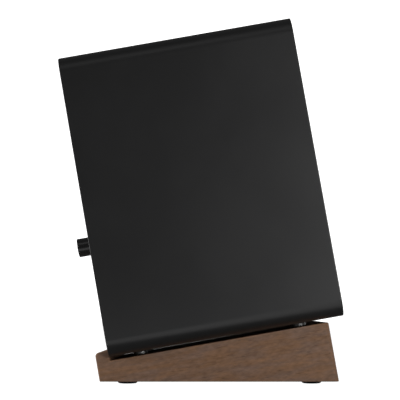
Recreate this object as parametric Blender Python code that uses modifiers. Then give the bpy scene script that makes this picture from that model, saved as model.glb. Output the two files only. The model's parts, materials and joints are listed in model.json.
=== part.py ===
"""Desk photo frame: a deep rounded aluminium case on a walnut wedge, a screen in front and a knob behind.

World frame: metres, +Z up, the screen looks along -Y, the floor is z = 0 and the origin is the middle of
the footprint. Everything on the case is placed in the frame of an empty that leans back by TILT. In that
frame the case stands on z = 0, its rear rim is y = 0 and its front rim is y = -CASE_DEPTH.
"""

import math

import bmesh
import bpy
from mathutils import Vector
from mathutils.geometry import interpolate_bezier

MM = 0.001

# Clearances
FIT = 0.3 * MM  # between pieces that touch
CUT_OVER = 2.0 * MM  # how far a cutter runs past the face it opens
TOLERANCE = 0.001 * MM  # points nearer than this are one

# Case: an aluminium tube with rounded long edges
CASE_WIDTH = 142.2 * MM
CASE_HEIGHT = 182.2 * MM
CASE_DEPTH = 142.0 * MM
CASE_WALL = 3.0 * MM
CASE_RADIUS = 10.0 * MM
RIM_EASE = 0.5 * MM
TILT = math.radians(10.0)
BOSS_RADIUS = 6.0 * MM
BOSS_BITE = 0.4 * MM  # how far a screw boss runs into the wall beside it

# Screen stack, front to back
BEZEL_RECESS = 0.5 * MM
BEZEL_WIDTH = 7.75 * MM
BEZEL_FACE = 1.5 * MM
BEZEL_RIM = 3.2 * MM
WINDOW_RADIUS = 2.0 * MM
GLASS_THICKNESS = 2.0 * MM
PANEL_THICKNESS = 1.4 * MM
PANEL_MARGIN = 4.5 * MM
GUIDE_THICKNESS = 3.0 * MM
SHEET = 1.2 * MM  # steel sheet of the carrier and the tray
TRAY_SKIN = 0.8 * MM
PAD_THICKNESS = 2.0 * MM
PAD_HEIGHT = 12.0 * MM
PAD_INSET = 16.0 * MM
CARRIER_MARGIN = 0.5 * MM
RIBBON_WIDTH = 22.0 * MM
RIBBON_THICKNESS = 0.4 * MM
RIBBON_HEIGHT = 40.0 * MM
RIBBON_LANDING = 14.0 * MM
RIBBON_STEPS = 14
CABLE_PORT_HEIGHT = 14.0 * MM

# Rear panel
PANEL_PLATE = 3.0 * MM
PANEL_RECESS = 0.5 * MM
GRILLE_SLOTS = 9
GRILLE_PITCH = 5.0 * MM
SLOT_HEIGHT = 2.4 * MM
GRILLE_RADIUS = 24.0 * MM
PORT_RECESS = 0.5 * MM

# Knob, encoder and power button
KNOB_DIAMETER = 11.9 * MM
KNOB_REACH = 12.95 * MM  # beyond the case's rear rim
KNOB_ROOT = 2.0 * MM  # length inside the panel's hole
KNOB_EASE = 0.6 * MM
EASE_MIDDLE = 0.3  # how far in the middle of an eased edge stands, as a share of the ease
KNOB_DROP = 111.4 * MM  # its axis below the case's top
KNOB_END_WALL = 5.0 * MM
SHAFT_DIAMETER = 6.0 * MM
COLLAR_DIAMETER = 8.0 * MM
COLLAR_THICKNESS = 1.0 * MM
PLUNGER_THICKNESS = 1.2 * MM
ENCODER_SIZE = 12.0 * MM
ENCODER_LENGTH = 7.0 * MM
ENCODER_WALL = 1.5 * MM
ENCODER_STANDOFF = 2.7 * MM
BUTTON_DIAMETER = 8.0 * MM
BUTTON_REACH = 0.9 * MM  # beyond the panel's face
BUTTON_FLANGE = 10.4 * MM
BUTTON_FLANGE_THICKNESS = 1.0 * MM
BUTTON_STEM = 3.0 * MM
BUTTON_X = 34.0 * MM
BUTTON_TRAVEL = 0.8 * MM
SWITCH_SIZE = 6.0 * MM
SWITCH_HEIGHT = 3.2 * MM
CONTROL_BOARD_HEIGHT = 20.0 * MM
CONTROL_BOARD_OVERHANG = 11.0 * MM
CONTROL_POST_RADIUS = 2.6 * MM
CONTROL_POST_SPREAD = 7.0 * MM
CONTROL_POST_X = 17.0 * MM
CONTROL_SCREW_LENGTH = 5.0 * MM

# Loudspeaker behind the rear panel's grille
SPEAKER_RADIUS = 31.0 * MM
SPEAKER_DROP = 46.0 * MM  # its axis below the case's top
SPEAKER_FLANGE = 1.5 * MM
SPEAKER_DEPTH = 16.5 * MM
SPEAKER_SKIN = 1.2 * MM
CONE_RADIUS = 23.6 * MM
CONE_SKIN = 0.8 * MM
CONE_ROOT = 0.55  # depth of the cone's inner end, as a share of the loudspeaker's
CAP_CROWN = 0.42  # depth of the dust cap's middle, as a share of the loudspeaker's
CAP_BEND = 0.7  # where the dust cap turns down, as a share of its radius
VOICE_RADIUS = 7.0 * MM
MAGNET_RADIUS = 18.0 * MM
MAGNET_LENGTH = 12.0 * MM
SPEAKER_SCREW_CIRCLE = 28.6 * MM

# Boards and the tray that carries them
BOARD_THICKNESS = 1.6 * MM
TRAY_FLANGE = 6.0 * MM
TRAY_REAR_GAP = 6.0 * MM
TRAY_FRONT_GAP = 6.0 * MM
POST_HEIGHT = 5.2 * MM
POST_RADIUS = 2.6 * MM
BOARD_SIDE_GAP = 6.0 * MM
BOARD_FRONT_GAP = 8.0 * MM
BOARD_REAR_GAP = 3.0 * MM
POST_INSET = 5.0 * MM
REAR_POST_INSET = 35.0 * MM
CHIP_SIZE = 18.0 * MM
CHIP_HEIGHT = 1.6 * MM
CHIP_FROM_REAR = 62.0 * MM
SINK_SIZE = 30.0 * MM
SINK_HEIGHT = 12.0 * MM
SINK_BASE = 2.0 * MM
SINK_FINS = 7
SINK_FIN = 1.2 * MM

# Walnut base
BASE_WIDTH = 118.0 * MM
BASE_CORNER = 3.0 * MM
BASE_OVERHANG = 9.2 * MM  # of the case, past the base's front face
LIP_THICKNESS = 8.2 * MM
LIP_HEIGHT = 6.0 * MM
SEAT_GAP = 2.4 * MM
SEAT_DEPTH = 12.65 * MM  # wood under the seat at its rear end
SPACER_DIAMETER = 9.0 * MM
BASE_SCREW_X = 36.0 * MM
BASE_SCREW_REAR = 17.5 * MM
BASE_SCREW_FRONT = 26.0 * MM
BASE_SCREW_GRIP = 8.0 * MM
BASE_SCREW_TIP = 3.0 * MM  # beyond the tray
FOOT_DIAMETER = 12.0 * MM
FOOT_HEIGHT = 1.6 * MM
FOOT_POCKET = 0.6 * MM
FOOT_FLAT = 0.62  # share of the radius that touches the floor
FOOT_DOME = 0.85  # share of the height below the underside that is domed
FOOT_INSET = 16.0 * MM
FOOT_SIDE_INSET = 13.0 * MM

# Screws: shank radius, head radius, head height
M2 = (1.0 * MM, 1.9 * MM, 1.3 * MM)
M25 = (1.25 * MM, 2.25 * MM, 1.6 * MM)
M3 = (1.5 * MM, 2.75 * MM, 1.6 * MM)
M4 = (2.0 * MM, 3.5 * MM, 4.0 * MM)
SCREW_SOCKET_SHARE = 0.5
BOSS_HOLE_DEPTH = 12.0 * MM
CARRIER_SCREW_REACH = 0.75  # shank length, as a share of the boss hole's depth
PANEL_SCREW_REACH = 0.8
SPEAKER_HOLE_DEPTH = 2.2 * MM

# Smoothness
CORNER_SEGMENTS = 8
INNER_CORNER_SEGMENTS = 6
BASE_CORNER_SEGMENTS = 5
SHEET_CORNER_SEGMENTS = 4
WINDOW_SEGMENTS = 3
EASE_SEGMENTS = 2
KNOB_SEGMENTS = 48
ROUND_SEGMENTS = 32
SHAFT_SEGMENTS = 24
MOUTH_SEGMENTS = 20
BOSS_SEGMENTS = 16
SMALL_SEGMENTS = 12
DOME_STEPS = 6
SHARP_ANGLE = math.radians(35)

# Places worked out from the sizes above, in the case's frame
INNER_WIDTH = CASE_WIDTH - 2 * CASE_WALL
INNER_HEIGHT = CASE_HEIGHT - 2 * CASE_WALL
INNER_RADIUS = CASE_RADIUS - CASE_WALL
MIDDLE = CASE_HEIGHT / 2
FRONT = -CASE_DEPTH
BEZEL_FRONT = FRONT + BEZEL_RECESS
GLASS_FRONT = BEZEL_FRONT + BEZEL_FACE + FIT
BEZEL_BACK = GLASS_FRONT + GLASS_THICKNESS + FIT
PANEL_FRONT = BEZEL_BACK + FIT
GUIDE_TRAY_FRONT = PANEL_FRONT + PANEL_THICKNESS + FIT
GUIDE_FRONT = GUIDE_TRAY_FRONT + FIT
GUIDE_TRAY_BACK = GUIDE_FRONT + GUIDE_THICKNESS + FIT + TRAY_SKIN
CARRIER_FLOOR = GUIDE_TRAY_BACK + 2 * FIT + PAD_THICKNESS
CARRIER_BACK = CARRIER_FLOOR + SHEET
BOSS_FRONT = CARRIER_BACK + FIT
REAR_FACE = -PANEL_RECESS
REAR_INNER = REAR_FACE - PANEL_PLATE
BOSS_REAR = REAR_INNER - FIT
BOSS_X = INNER_WIDTH / 2 - BOSS_RADIUS + BOSS_BITE
BOSS_LOW = CASE_WALL + BOSS_RADIUS - BOSS_BITE
BOSS_HIGH = CASE_HEIGHT - BOSS_LOW
BOSS_CENTRES = [(x, z) for z in (BOSS_LOW, BOSS_HIGH) for x in (-BOSS_X, BOSS_X)]
ENCODER_TOP = REAR_INNER - ENCODER_STANDOFF
ENCODER_BOTTOM = ENCODER_TOP - ENCODER_LENGTH
CONTROL_BOARD_TOP = ENCODER_BOTTOM - FIT
COLLAR_TOP = ENCODER_TOP - ENCODER_WALL - FIT
COLLAR_BOTTOM = COLLAR_TOP - COLLAR_THICKNESS
KNOB_BOTTOM = REAR_FACE - KNOB_ROOT
SPEAKER_HEIGHT = CASE_HEIGHT - SPEAKER_DROP
KNOB_AXIS_HEIGHT = CASE_HEIGHT - KNOB_DROP
SPEAKER_TOP = REAR_INNER - FIT
TRAY_BOTTOM = CASE_WALL + FIT
TRAY_TOP = TRAY_BOTTOM + SHEET
TRAY_HALF = BOSS_X - BOSS_RADIUS - FIT
TRAY_REAR = REAR_INNER - TRAY_REAR_GAP
TRAY_FRONT = CARRIER_BACK + TRAY_FRONT_GAP
BOARD_BOTTOM = TRAY_TOP + POST_HEIGHT + FIT
BOARD_TOP = BOARD_BOTTOM + BOARD_THICKNESS
BOARD_HALF = TRAY_HALF - BOARD_SIDE_GAP
BOARD_REAR = REAR_INNER - BOARD_REAR_GAP
BOARD_FRONT = TRAY_FRONT + BOARD_FRONT_GAP
SEAT = -SEAT_GAP
LIP_TOP = SEAT + LIP_HEIGHT
LIP_INNER = FIT
LIP_REAR = LIP_INNER + LIP_THICKNESS
BASE_FRONT = FRONT + BASE_OVERHANG
BASE_SCREW_PLACES = [
    (x, y) for y in (-BASE_SCREW_REAR, FRONT + BASE_SCREW_FRONT) for x in (-BASE_SCREW_X, BASE_SCREW_X)
]

# Connectors on the board's rear edge: x, width, height, length, then the mouth's width, height and depth
CONNECTORS = {
    "card_socket": (-29 * MM, 27 * MM, 3.6 * MM, 28 * MM, 24.6 * MM, 2.4 * MM, 20 * MM),
    "usb_socket": (-6 * MM, 9.4 * MM, 3.6 * MM, 8 * MM, 8.4 * MM, 2.6 * MM, 6 * MM),
    "audio_jack": (9 * MM, 6.6 * MM, 5.6 * MM, 13 * MM, 3.6 * MM, 3.6 * MM, 11 * MM),
    "power_jack": (27 * MM, 9.4 * MM, 10.4 * MM, 13.5 * MM, 6.4 * MM, 6.4 * MM, 9 * MM),
}
JACK_PIN_RADIUS = 1.0 * MM
USB_TONGUE = (6.6 * MM, 0.7 * MM)
ROUND_MOUTHS = ("audio_jack", "power_jack")


def underside(y):
    """Height, in the case's frame, of the base's level underside at the depth y."""
    return SEAT - SEAT_DEPTH - (LIP_INNER - y) * math.tan(TILT)


def world_y(y, z):
    """World depth of a point of the case's frame, before the frame is centred."""
    return y * math.cos(TILT) + z * math.sin(TILT)


def frame_place():
    """Where the case's frame sits, so that the feet stand on z = 0 and the footprint is centred."""
    nearest = min(world_y(FRONT, 0), world_y(BASE_FRONT, underside(BASE_FRONT)))
    knob_top = world_y(KNOB_REACH, KNOB_AXIS_HEIGHT + KNOB_DIAMETER / 2)
    farthest = max(world_y(0, CASE_HEIGHT), world_y(LIP_REAR, LIP_TOP), knob_top)
    rise = LIP_INNER * math.sin(TILT) + (SEAT_GAP + SEAT_DEPTH) * math.cos(TILT)
    return Vector((0, -(nearest + farthest) / 2, FOOT_HEIGHT + rise))


def clear_scene():
    for obj in list(bpy.data.objects):
        bpy.data.objects.remove(obj, do_unlink=True)


def new_collection(name):
    collection = bpy.data.collections.new(name)
    bpy.context.scene.collection.children.link(collection)
    return collection


def new_material(name, colour, roughness, metallic=0.0, alpha=1.0):
    material = bpy.data.materials.new(name)
    material.use_nodes = True
    shader = material.node_tree.nodes["Principled BSDF"]
    shader.inputs["Base Color"].default_value = (*colour, 1.0)
    shader.inputs["Roughness"].default_value = roughness
    shader.inputs["Metallic"].default_value = metallic
    shader.inputs["Alpha"].default_value = alpha
    return material


def finished(bm, name, parent, location=(0, 0, 0), rotation=(0, 0, 0), material=None):
    """Makes a mesh of bm an object. One with a material is a part, and one without is a cutter."""
    mesh = bpy.data.meshes.new(name)
    bmesh.ops.recalc_face_normals(bm, faces=bm.faces)
    bm.to_mesh(mesh)
    bm.free()
    obj = bpy.data.objects.new(name, mesh)
    obj.parent = parent
    obj.location = location
    obj.rotation_euler = rotation
    if material:
        mesh.materials.append(material)
        mesh.shade_smooth()
        mesh.set_sharp_from_angle(angle=SHARP_ANGLE)
        PARTS.objects.link(obj)
    else:
        obj.hide_render = True
        obj.display_type = "WIRE"
        CUTTERS.objects.link(obj)
    return obj


def spans(low, high):
    """The size and the centre of the box between two corners."""
    low, high = Vector(low), Vector(high)
    return high - low, (high + low) / 2


def block(size, corner=0.0, axis="Z", segments=CORNER_SEGMENTS, ease=0.0):
    """A box whose four edges along one axis are rounded, and whose two rims across it can be eased."""
    bm = bmesh.new()
    bmesh.ops.create_cube(bm, size=1.0)
    bmesh.ops.scale(bm, vec=size, verts=bm.verts)
    along = "XYZ".index(axis)
    if corner:
        edges = [e for e in bm.edges if abs((e.verts[0].co - e.verts[1].co)[along]) > size[along] / 2]
        bmesh.ops.bevel(bm, geom=edges, offset=corner, segments=segments, profile=0.5, affect="EDGES")
    if ease:
        ends = [e for e in bm.edges if abs((e.verts[0].co + e.verts[1].co)[along]) > size[along] - TOLERANCE]
        bmesh.ops.bevel(bm, geom=ends, offset=ease, segments=EASE_SEGMENTS, profile=0.5, affect="EDGES")
    return bm


def block_between(name, low, high, parent, material=None, **shape):
    size, centre = spans(low, high)
    return finished(block(size, **shape), name, parent, centre, material=material)


def rod(radius, length, segments=SMALL_SEGMENTS):
    """A cylinder along Z about its middle."""
    bm = bmesh.new()
    bmesh.ops.create_cone(bm, cap_ends=True, segments=segments, radius1=radius, radius2=radius, depth=length)
    return bm


ALONG_Z = (0, 0, 0)
ALONG_Y = (-math.pi / 2, 0, 0)  # turns a piece's +Z to the rear
HEAD_FORWARD = (math.pi / 2, 0, 0)
HEAD_DOWN = (math.pi, 0, 0)


def turned(name, profile, parent, location, rotation, material, closed=False, steps=ROUND_SEGMENTS):
    """A profile of (radius, height), top to bottom on its outer side, turned about its own Z by a Screw."""
    bm = bmesh.new()
    points = [bm.verts.new((radius, 0, height)) for radius, height in profile]
    for a, b in zip(points, points[1:] + points[:1] if closed else points[1:]):
        bm.edges.new((a, b))
    obj = finished(bm, name, parent, location, rotation, material)
    screw = obj.modifiers.new("turn", "SCREW")
    screw.axis = "Z"
    screw.angle = 2 * math.pi
    screw.steps = steps
    screw.render_steps = steps
    screw.use_merge_vertices = True
    screw.merge_threshold = TOLERANCE
    screw.use_smooth_shade = True
    return obj


def cut(part, cutters, operation="DIFFERENCE"):
    for cutter in cutters:
        boolean = part.modifiers.new(cutter.name, "BOOLEAN")
        boolean.operation = operation
        boolean.solver = "EXACT"
        boolean.object = cutter


def outline_solid(name, outline, thickness, parent, material=None):
    """A flat outline of (depth, height) points made a solid that is centred on x = 0."""
    data = bpy.data.curves.new(name, "CURVE")
    data.dimensions = "2D"
    data.fill_mode = "BOTH"
    data.extrude = thickness / 2
    spline = data.splines.new("POLY")
    spline.points.add(len(outline) - 1)
    for point, (y, z) in zip(spline.points, outline):
        point.co = (y, z, 0, 1)
    spline.use_cyclic_u = True
    curve = bpy.data.objects.new(name + "_outline", data)
    curve.rotation_euler = (math.pi / 2, 0, math.pi / 2)  # curve x, y -> frame y, z
    PARTS.objects.link(curve)
    bpy.context.view_layer.update()
    evaluated = curve.evaluated_get(bpy.context.evaluated_depsgraph_get())
    mesh = bpy.data.meshes.new_from_object(evaluated)
    bm = bmesh.new()
    bm.from_mesh(mesh)
    bmesh.ops.transform(bm, matrix=curve.matrix_world, verts=bm.verts)
    bmesh.ops.remove_doubles(bm, verts=bm.verts, dist=TOLERANCE)
    bpy.data.objects.remove(curve, do_unlink=True)
    bpy.data.meshes.remove(mesh)
    return finished(bm, name, parent, material=material)


def screw_piece(name, size, shank_length, parent, location, rotation, material, countersunk=False):
    """A screw with its shank along -Z and a round drive socket in the head.

    The origin is the underside of the head, or the top of a countersunk one.
    """
    shank, head, height = size
    socket_depth = height * SCREW_SOCKET_SHARE
    if countersunk:
        head_profile = [(head, 0.0), (shank, -height)]
        top = 0.0
    else:
        head_profile = [(head, height), (head, 0.0), (shank, 0.0)]
        top = height
    socket = head * SCREW_SOCKET_SHARE
    profile = [(0.0, top - socket_depth), (socket, top - socket_depth), (socket, top)]
    profile += head_profile + [(shank, -shank_length), (0.0, -shank_length)]
    return turned(name, profile, parent, location, rotation, material, steps=SMALL_SEGMENTS)


def build_case(frame, aluminium):
    middle = (0, FRONT / 2, MIDDLE)
    size = Vector((CASE_WIDTH, CASE_DEPTH, CASE_HEIGHT))
    tube = block(size, CASE_RADIUS, "Y", ease=RIM_EASE)
    shell = finished(tube, "case_shell", frame, middle, material=aluminium)
    bore_size = Vector((INNER_WIDTH, CASE_DEPTH + 2 * CUT_OVER, INNER_HEIGHT))
    cut(shell, [finished(block(bore_size, INNER_RADIUS, "Y"), "case_bore", frame, middle)])
    length = BOSS_REAR - BOSS_FRONT
    for number, (x, z) in enumerate(BOSS_CENTRES, 1):
        place = (x, (BOSS_REAR + BOSS_FRONT) / 2, z)
        boss = finished(rod(BOSS_RADIUS, length, BOSS_SEGMENTS), f"boss_{number}", frame, place, ALONG_Y)
        cut(shell, [boss], "UNION")
        for end, y in (("rear", BOSS_REAR), ("front", BOSS_FRONT)):
            hole = rod(M3[0] + FIT, 2 * BOSS_HOLE_DEPTH)
            cut(shell, [finished(hole, f"boss_hole_{end}_{number}", frame, (x, y, z), ALONG_Y)])
    for number, (x, y) in enumerate(BASE_SCREW_PLACES, 1):
        hole = rod(M4[0] + FIT, CASE_WALL + 2 * CUT_OVER)
        cut(shell, [finished(hole, f"wall_hole_{number}", frame, (x, y, CASE_WALL / 2))])


def build_screen(frame, finish):
    half = INNER_WIDTH / 2 - FIT
    low, high = CASE_WALL + FIT, CASE_HEIGHT - CASE_WALL - FIT
    bezel = block_between(
        "front_bezel",
        (-half, BEZEL_FRONT, low),
        (half, BEZEL_BACK, high),
        frame,
        finish["black_plastic"],
        corner=INNER_RADIUS - FIT,
        axis="Y",
        segments=INNER_CORNER_SEGMENTS,
    )
    through = 2 * (BEZEL_BACK - BEZEL_FRONT + CUT_OVER)
    window = Vector((INNER_WIDTH - 2 * BEZEL_WIDTH, through, INNER_HEIGHT - 2 * BEZEL_WIDTH))
    window = block(window, WINDOW_RADIUS, "Y", WINDOW_SEGMENTS)
    rim = BEZEL_RIM
    pocket_high = (half - rim, BEZEL_BACK + CUT_OVER, high - rim)
    cut(bezel, [
        finished(window, "bezel_window", frame, (0, BEZEL_FRONT, MIDDLE)),
        block_between("bezel_pocket", (-half + rim, GLASS_FRONT - FIT, low + rim), pocket_high, frame),
    ])
    inset = rim + FIT
    block_between(
        "cover_glass",
        (-half + inset, GLASS_FRONT, low + inset),
        (half - inset, GLASS_FRONT + GLASS_THICKNESS, high - inset),
        frame,
        finish["glass"],
    )
    side, foot = INNER_WIDTH / 2 - PANEL_MARGIN, CASE_WALL + PANEL_MARGIN
    top = CASE_HEIGHT - foot
    panel_high = (side, PANEL_FRONT + PANEL_THICKNESS, top)
    block_between("lcd_panel", (-side, PANEL_FRONT, foot), panel_high, frame, finish["screen"])
    tray_high = (side, GUIDE_TRAY_BACK, top)
    tray = block_between("backlight_tray", (-side, GUIDE_TRAY_FRONT, foot), tray_high, frame, finish["steel"])
    skin = TRAY_SKIN
    cut(tray, [
        block_between(
            "backlight_pocket",
            (-side + skin, GUIDE_TRAY_FRONT - CUT_OVER, foot + skin),
            (side - skin, GUIDE_TRAY_BACK - skin, top - skin),
            frame,
        )
    ])
    skin += FIT
    block_between(
        "light_guide",
        (-side + skin, GUIDE_FRONT, foot + skin),
        (side - skin, GUIDE_FRONT + GUIDE_THICKNESS, top - skin),
        frame,
        finish["white_plastic"],
    )
    pad_front = GUIDE_TRAY_BACK + FIT
    lower = CASE_WALL + PAD_INSET
    for name, z in (("display_pad_lower", lower), ("display_pad_upper", CASE_HEIGHT - lower)):
        low_corner = (-side + PAD_INSET, pad_front, z - PAD_HEIGHT / 2)
        high_corner = (side - PAD_INSET, pad_front + PAD_THICKNESS, z + PAD_HEIGHT / 2)
        block_between(name, low_corner, high_corner, frame, finish["foam"])
    build_carrier(frame, finish)


def build_carrier(frame, finish):
    side = INNER_WIDTH / 2 - CARRIER_MARGIN
    foot, top = CASE_WALL + CARRIER_MARGIN, CASE_HEIGHT - CASE_WALL - CARRIER_MARGIN
    carrier = block_between(
        "display_carrier",
        (-side, BEZEL_BACK + FIT, foot),
        (side, CARRIER_BACK, top),
        frame,
        finish["steel"],
        corner=INNER_RADIUS - CARRIER_MARGIN,
        axis="Y",
        segments=SHEET_CORNER_SEGMENTS,
    )
    pocket = block_between(
        "carrier_pocket",
        (-side + SHEET, BEZEL_BACK - CUT_OVER, foot + SHEET),
        (side - SHEET, CARRIER_FLOOR, top - SHEET),
        frame,
        corner=INNER_RADIUS - CARRIER_MARGIN - SHEET,
        axis="Y",
        segments=SHEET_CORNER_SEGMENTS,
    )
    port_half = RIBBON_WIDTH / 2 + CUT_OVER
    port = block_between(
        "cable_port",
        (-port_half, CARRIER_FLOOR - CUT_OVER, RIBBON_HEIGHT - CABLE_PORT_HEIGHT / 2),
        (port_half, CARRIER_BACK + CUT_OVER, RIBBON_HEIGHT + CABLE_PORT_HEIGHT / 2),
        frame,
    )
    cut(carrier, [pocket, port])
    for number, (x, z) in enumerate(BOSS_CENTRES, 1):
        hole = rod(M3[0] + FIT, SHEET + 2 * CUT_OVER)
        place = (x, CARRIER_FLOOR + SHEET / 2, z)
        cut(carrier, [finished(hole, f"carrier_hole_{number}", frame, place, ALONG_Y)])
        length = BOSS_HOLE_DEPTH * CARRIER_SCREW_REACH
        place = (x, CARRIER_FLOOR - FIT, z)
        screw_piece(f"carrier_screw_{number}", M3, length, frame, place, HEAD_FORWARD, finish["steel"])
    build_ribbon(frame, finish["ribbon"])


def build_ribbon(frame, material):
    """A flat cable from the back of the screen, through the carrier's port and down onto the board."""
    start = Vector((0, GUIDE_TRAY_BACK + FIT + RIBBON_THICKNESS, RIBBON_HEIGHT))
    end = Vector((0, BOARD_FRONT + RIBBON_LANDING, BOARD_TOP + FIT + RIBBON_THICKNESS / 2))
    reach = (end.y - start.y) / 2
    run = Vector((0, reach, 0))
    route = interpolate_bezier(start, start + run, end - run, end, RIBBON_STEPS)
    bm = bmesh.new()
    points = [bm.verts.new(p - Vector((RIBBON_WIDTH / 2, 0, 0))) for p in route]
    edges = [bm.edges.new(pair) for pair in zip(points, points[1:])]
    made = bmesh.ops.extrude_edge_only(bm, edges=edges)["geom"]
    far_side = [v for v in made if isinstance(v, bmesh.types.BMVert)]
    bmesh.ops.translate(bm, vec=(RIBBON_WIDTH, 0, 0), verts=far_side)
    ribbon = finished(bm, "display_ribbon", frame, material=material)
    solidify = ribbon.modifiers.new("thickness", "SOLIDIFY")
    solidify.thickness = RIBBON_THICKNESS
    solidify.offset = 0


def build_rear_panel(frame, finish):
    half = INNER_WIDTH / 2 - FIT
    panel = block_between(
        "rear_panel",
        (-half, REAR_INNER, CASE_WALL + FIT),
        (half, REAR_FACE, CASE_HEIGHT - CASE_WALL - FIT),
        frame,
        finish["black_metal"],
        corner=INNER_RADIUS - FIT,
        axis="Y",
        segments=INNER_CORNER_SEGMENTS,
    )
    middle = (REAR_FACE + REAR_INNER) / 2
    post_length = REAR_INNER - CONTROL_BOARD_TOP - FIT
    for number, side in enumerate((-1, 1), 1):
        z = KNOB_AXIS_HEIGHT + side * CONTROL_POST_SPREAD
        place = (CONTROL_POST_X, REAR_INNER - post_length / 2 + FIT, z)
        post = rod(CONTROL_POST_RADIUS, post_length + 2 * FIT)
        cut(panel, [finished(post, f"control_post_{number}", frame, place, ALONG_Y)], "UNION")
        hole = rod(M2[0] + FIT, post_length)
        place = (CONTROL_POST_X, REAR_INNER - post_length, z)
        cut(panel, [finished(hole, f"control_post_hole_{number}", frame, place, ALONG_Y)])
    through = PANEL_PLATE + 2 * CUT_OVER
    for name, x, diameter in (("knob_hole", 0, KNOB_DIAMETER), ("button_hole", BUTTON_X, BUTTON_DIAMETER)):
        hole = rod(diameter / 2 + FIT, through, ROUND_SEGMENTS)
        cut(panel, [finished(hole, name, frame, (x, middle, KNOB_AXIS_HEIGHT), ALONG_Y)])
    slots = bmesh.new()
    for index in range(GRILLE_SLOTS):
        drop = (index - (GRILLE_SLOTS - 1) / 2) * GRILLE_PITCH
        reach = math.sqrt(GRILLE_RADIUS**2 - drop**2)
        slot = bmesh.ops.create_cube(slots, size=1.0)["verts"]
        bmesh.ops.scale(slots, vec=(2 * reach, through, SLOT_HEIGHT), verts=slot)
        bmesh.ops.translate(slots, vec=(0, 0, drop), verts=slot)
    cut(panel, [finished(slots, "grille_slots", frame, (0, middle, SPEAKER_HEIGHT))])
    for name, (x, width, height, *_rest) in CONNECTORS.items():
        low = (x - width / 2 - FIT, REAR_INNER - CUT_OVER, BOARD_TOP)
        high = (x + width / 2 + FIT, REAR_FACE + CUT_OVER, BOARD_TOP + height + 2 * FIT)
        cut(panel, [block_between(f"{name}_port", low, high, frame)])
    shank, head, height = M3
    mouth = head + FIT + (head - shank) / height * CUT_OVER
    neck, end = shank + FIT, -PANEL_PLATE - CUT_OVER
    sink = [(0, CUT_OVER), (mouth, CUT_OVER), (neck, -height), (neck, end), (0, end)]
    length = BOSS_HOLE_DEPTH * PANEL_SCREW_REACH
    for number, (x, z) in enumerate(BOSS_CENTRES, 1):
        place = (x, REAR_FACE, z)
        cut(panel, [turned(f"panel_sink_{number}", sink, frame, place, ALONG_Y, None, steps=BOSS_SEGMENTS)])
        place = (x, REAR_FACE - FIT / 3, z)
        name = f"rear_panel_screw_{number}"
        screw_piece(name, M3, length, frame, place, ALONG_Y, finish["black_steel"], countersunk=True)
    for number in range(1, 5):
        x, z = speaker_screw_place(number)
        hole = rod(M2[0] + FIT, 2 * SPEAKER_HOLE_DEPTH)
        cut(panel, [finished(hole, f"speaker_hole_{number}", frame, (x, REAR_INNER, z), ALONG_Y)])


def speaker_screw_place(number):
    """Where, across and up, one of the four screws stands, each midway between the axes."""
    angle = (number - 0.5) * math.pi / 2
    return SPEAKER_SCREW_CIRCLE * math.cos(angle), SPEAKER_HEIGHT + SPEAKER_SCREW_CIRCLE * math.sin(angle)


def build_speaker(frame, finish):
    axis = (0, SPEAKER_TOP, SPEAKER_HEIGHT)
    throat = CONE_RADIUS + SPEAKER_SKIN
    flange, skin, depth = SPEAKER_FLANGE, SPEAKER_SKIN, SPEAKER_DEPTH
    basket = turned(
        "speaker_basket",
        [
            (SPEAKER_RADIUS, 0),
            (SPEAKER_RADIUS, -flange),
            (throat + skin, -flange),
            (MAGNET_RADIUS - skin, -depth),
            (VOICE_RADIUS + skin, -depth),
            (VOICE_RADIUS + skin, -depth + skin),
            (MAGNET_RADIUS - 2 * skin, -depth + skin),
            (throat, -flange),
            (throat, 0),
        ],
        frame,
        axis,
        ALONG_Y,
        finish["black_steel"],
        closed=True,
    )
    for number in range(1, 5):
        x, z = speaker_screw_place(number)
        hole = rod(M2[0] + FIT, 2 * (SPEAKER_FLANGE + CUT_OVER))
        cut(basket, [finished(hole, f"basket_hole_{number}", frame, (x, SPEAKER_TOP, z), ALONG_Y)])
        place = (x, SPEAKER_TOP - SPEAKER_FLANGE - FIT, z)
        length = SPEAKER_FLANGE + SPEAKER_HOLE_DEPTH
        screw_piece(f"speaker_screw_{number}", M2, length, frame, place, HEAD_FORWARD, finish["steel"])
    cone_rim, cone_root, cap = -2 * FIT, -depth * CONE_ROOT, -depth * CAP_CROWN
    bend = (cap + cone_root) / 2
    turned(
        "speaker_cone",
        [
            (0, cap),
            (VOICE_RADIUS * CAP_BEND, bend),
            (VOICE_RADIUS, cone_root),
            (CONE_RADIUS, cone_rim),
            (CONE_RADIUS, cone_rim - CONE_SKIN),
            (VOICE_RADIUS, cone_root - CONE_SKIN),
            (VOICE_RADIUS * CAP_BEND, bend - CONE_SKIN),
            (0, cap - CONE_SKIN),
        ],
        frame,
        axis,
        ALONG_Y,
        finish["cone_paper"],
    )
    magnet_place = (0, SPEAKER_TOP - depth - FIT - MAGNET_LENGTH / 2, SPEAKER_HEIGHT)
    magnet = rod(MAGNET_RADIUS, MAGNET_LENGTH, ROUND_SEGMENTS)
    finished(magnet, "speaker_magnet", frame, magnet_place, ALONG_Y, finish["steel"])


def on_knob_axis(y):
    return 0, y, KNOB_AXIS_HEIGHT


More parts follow.
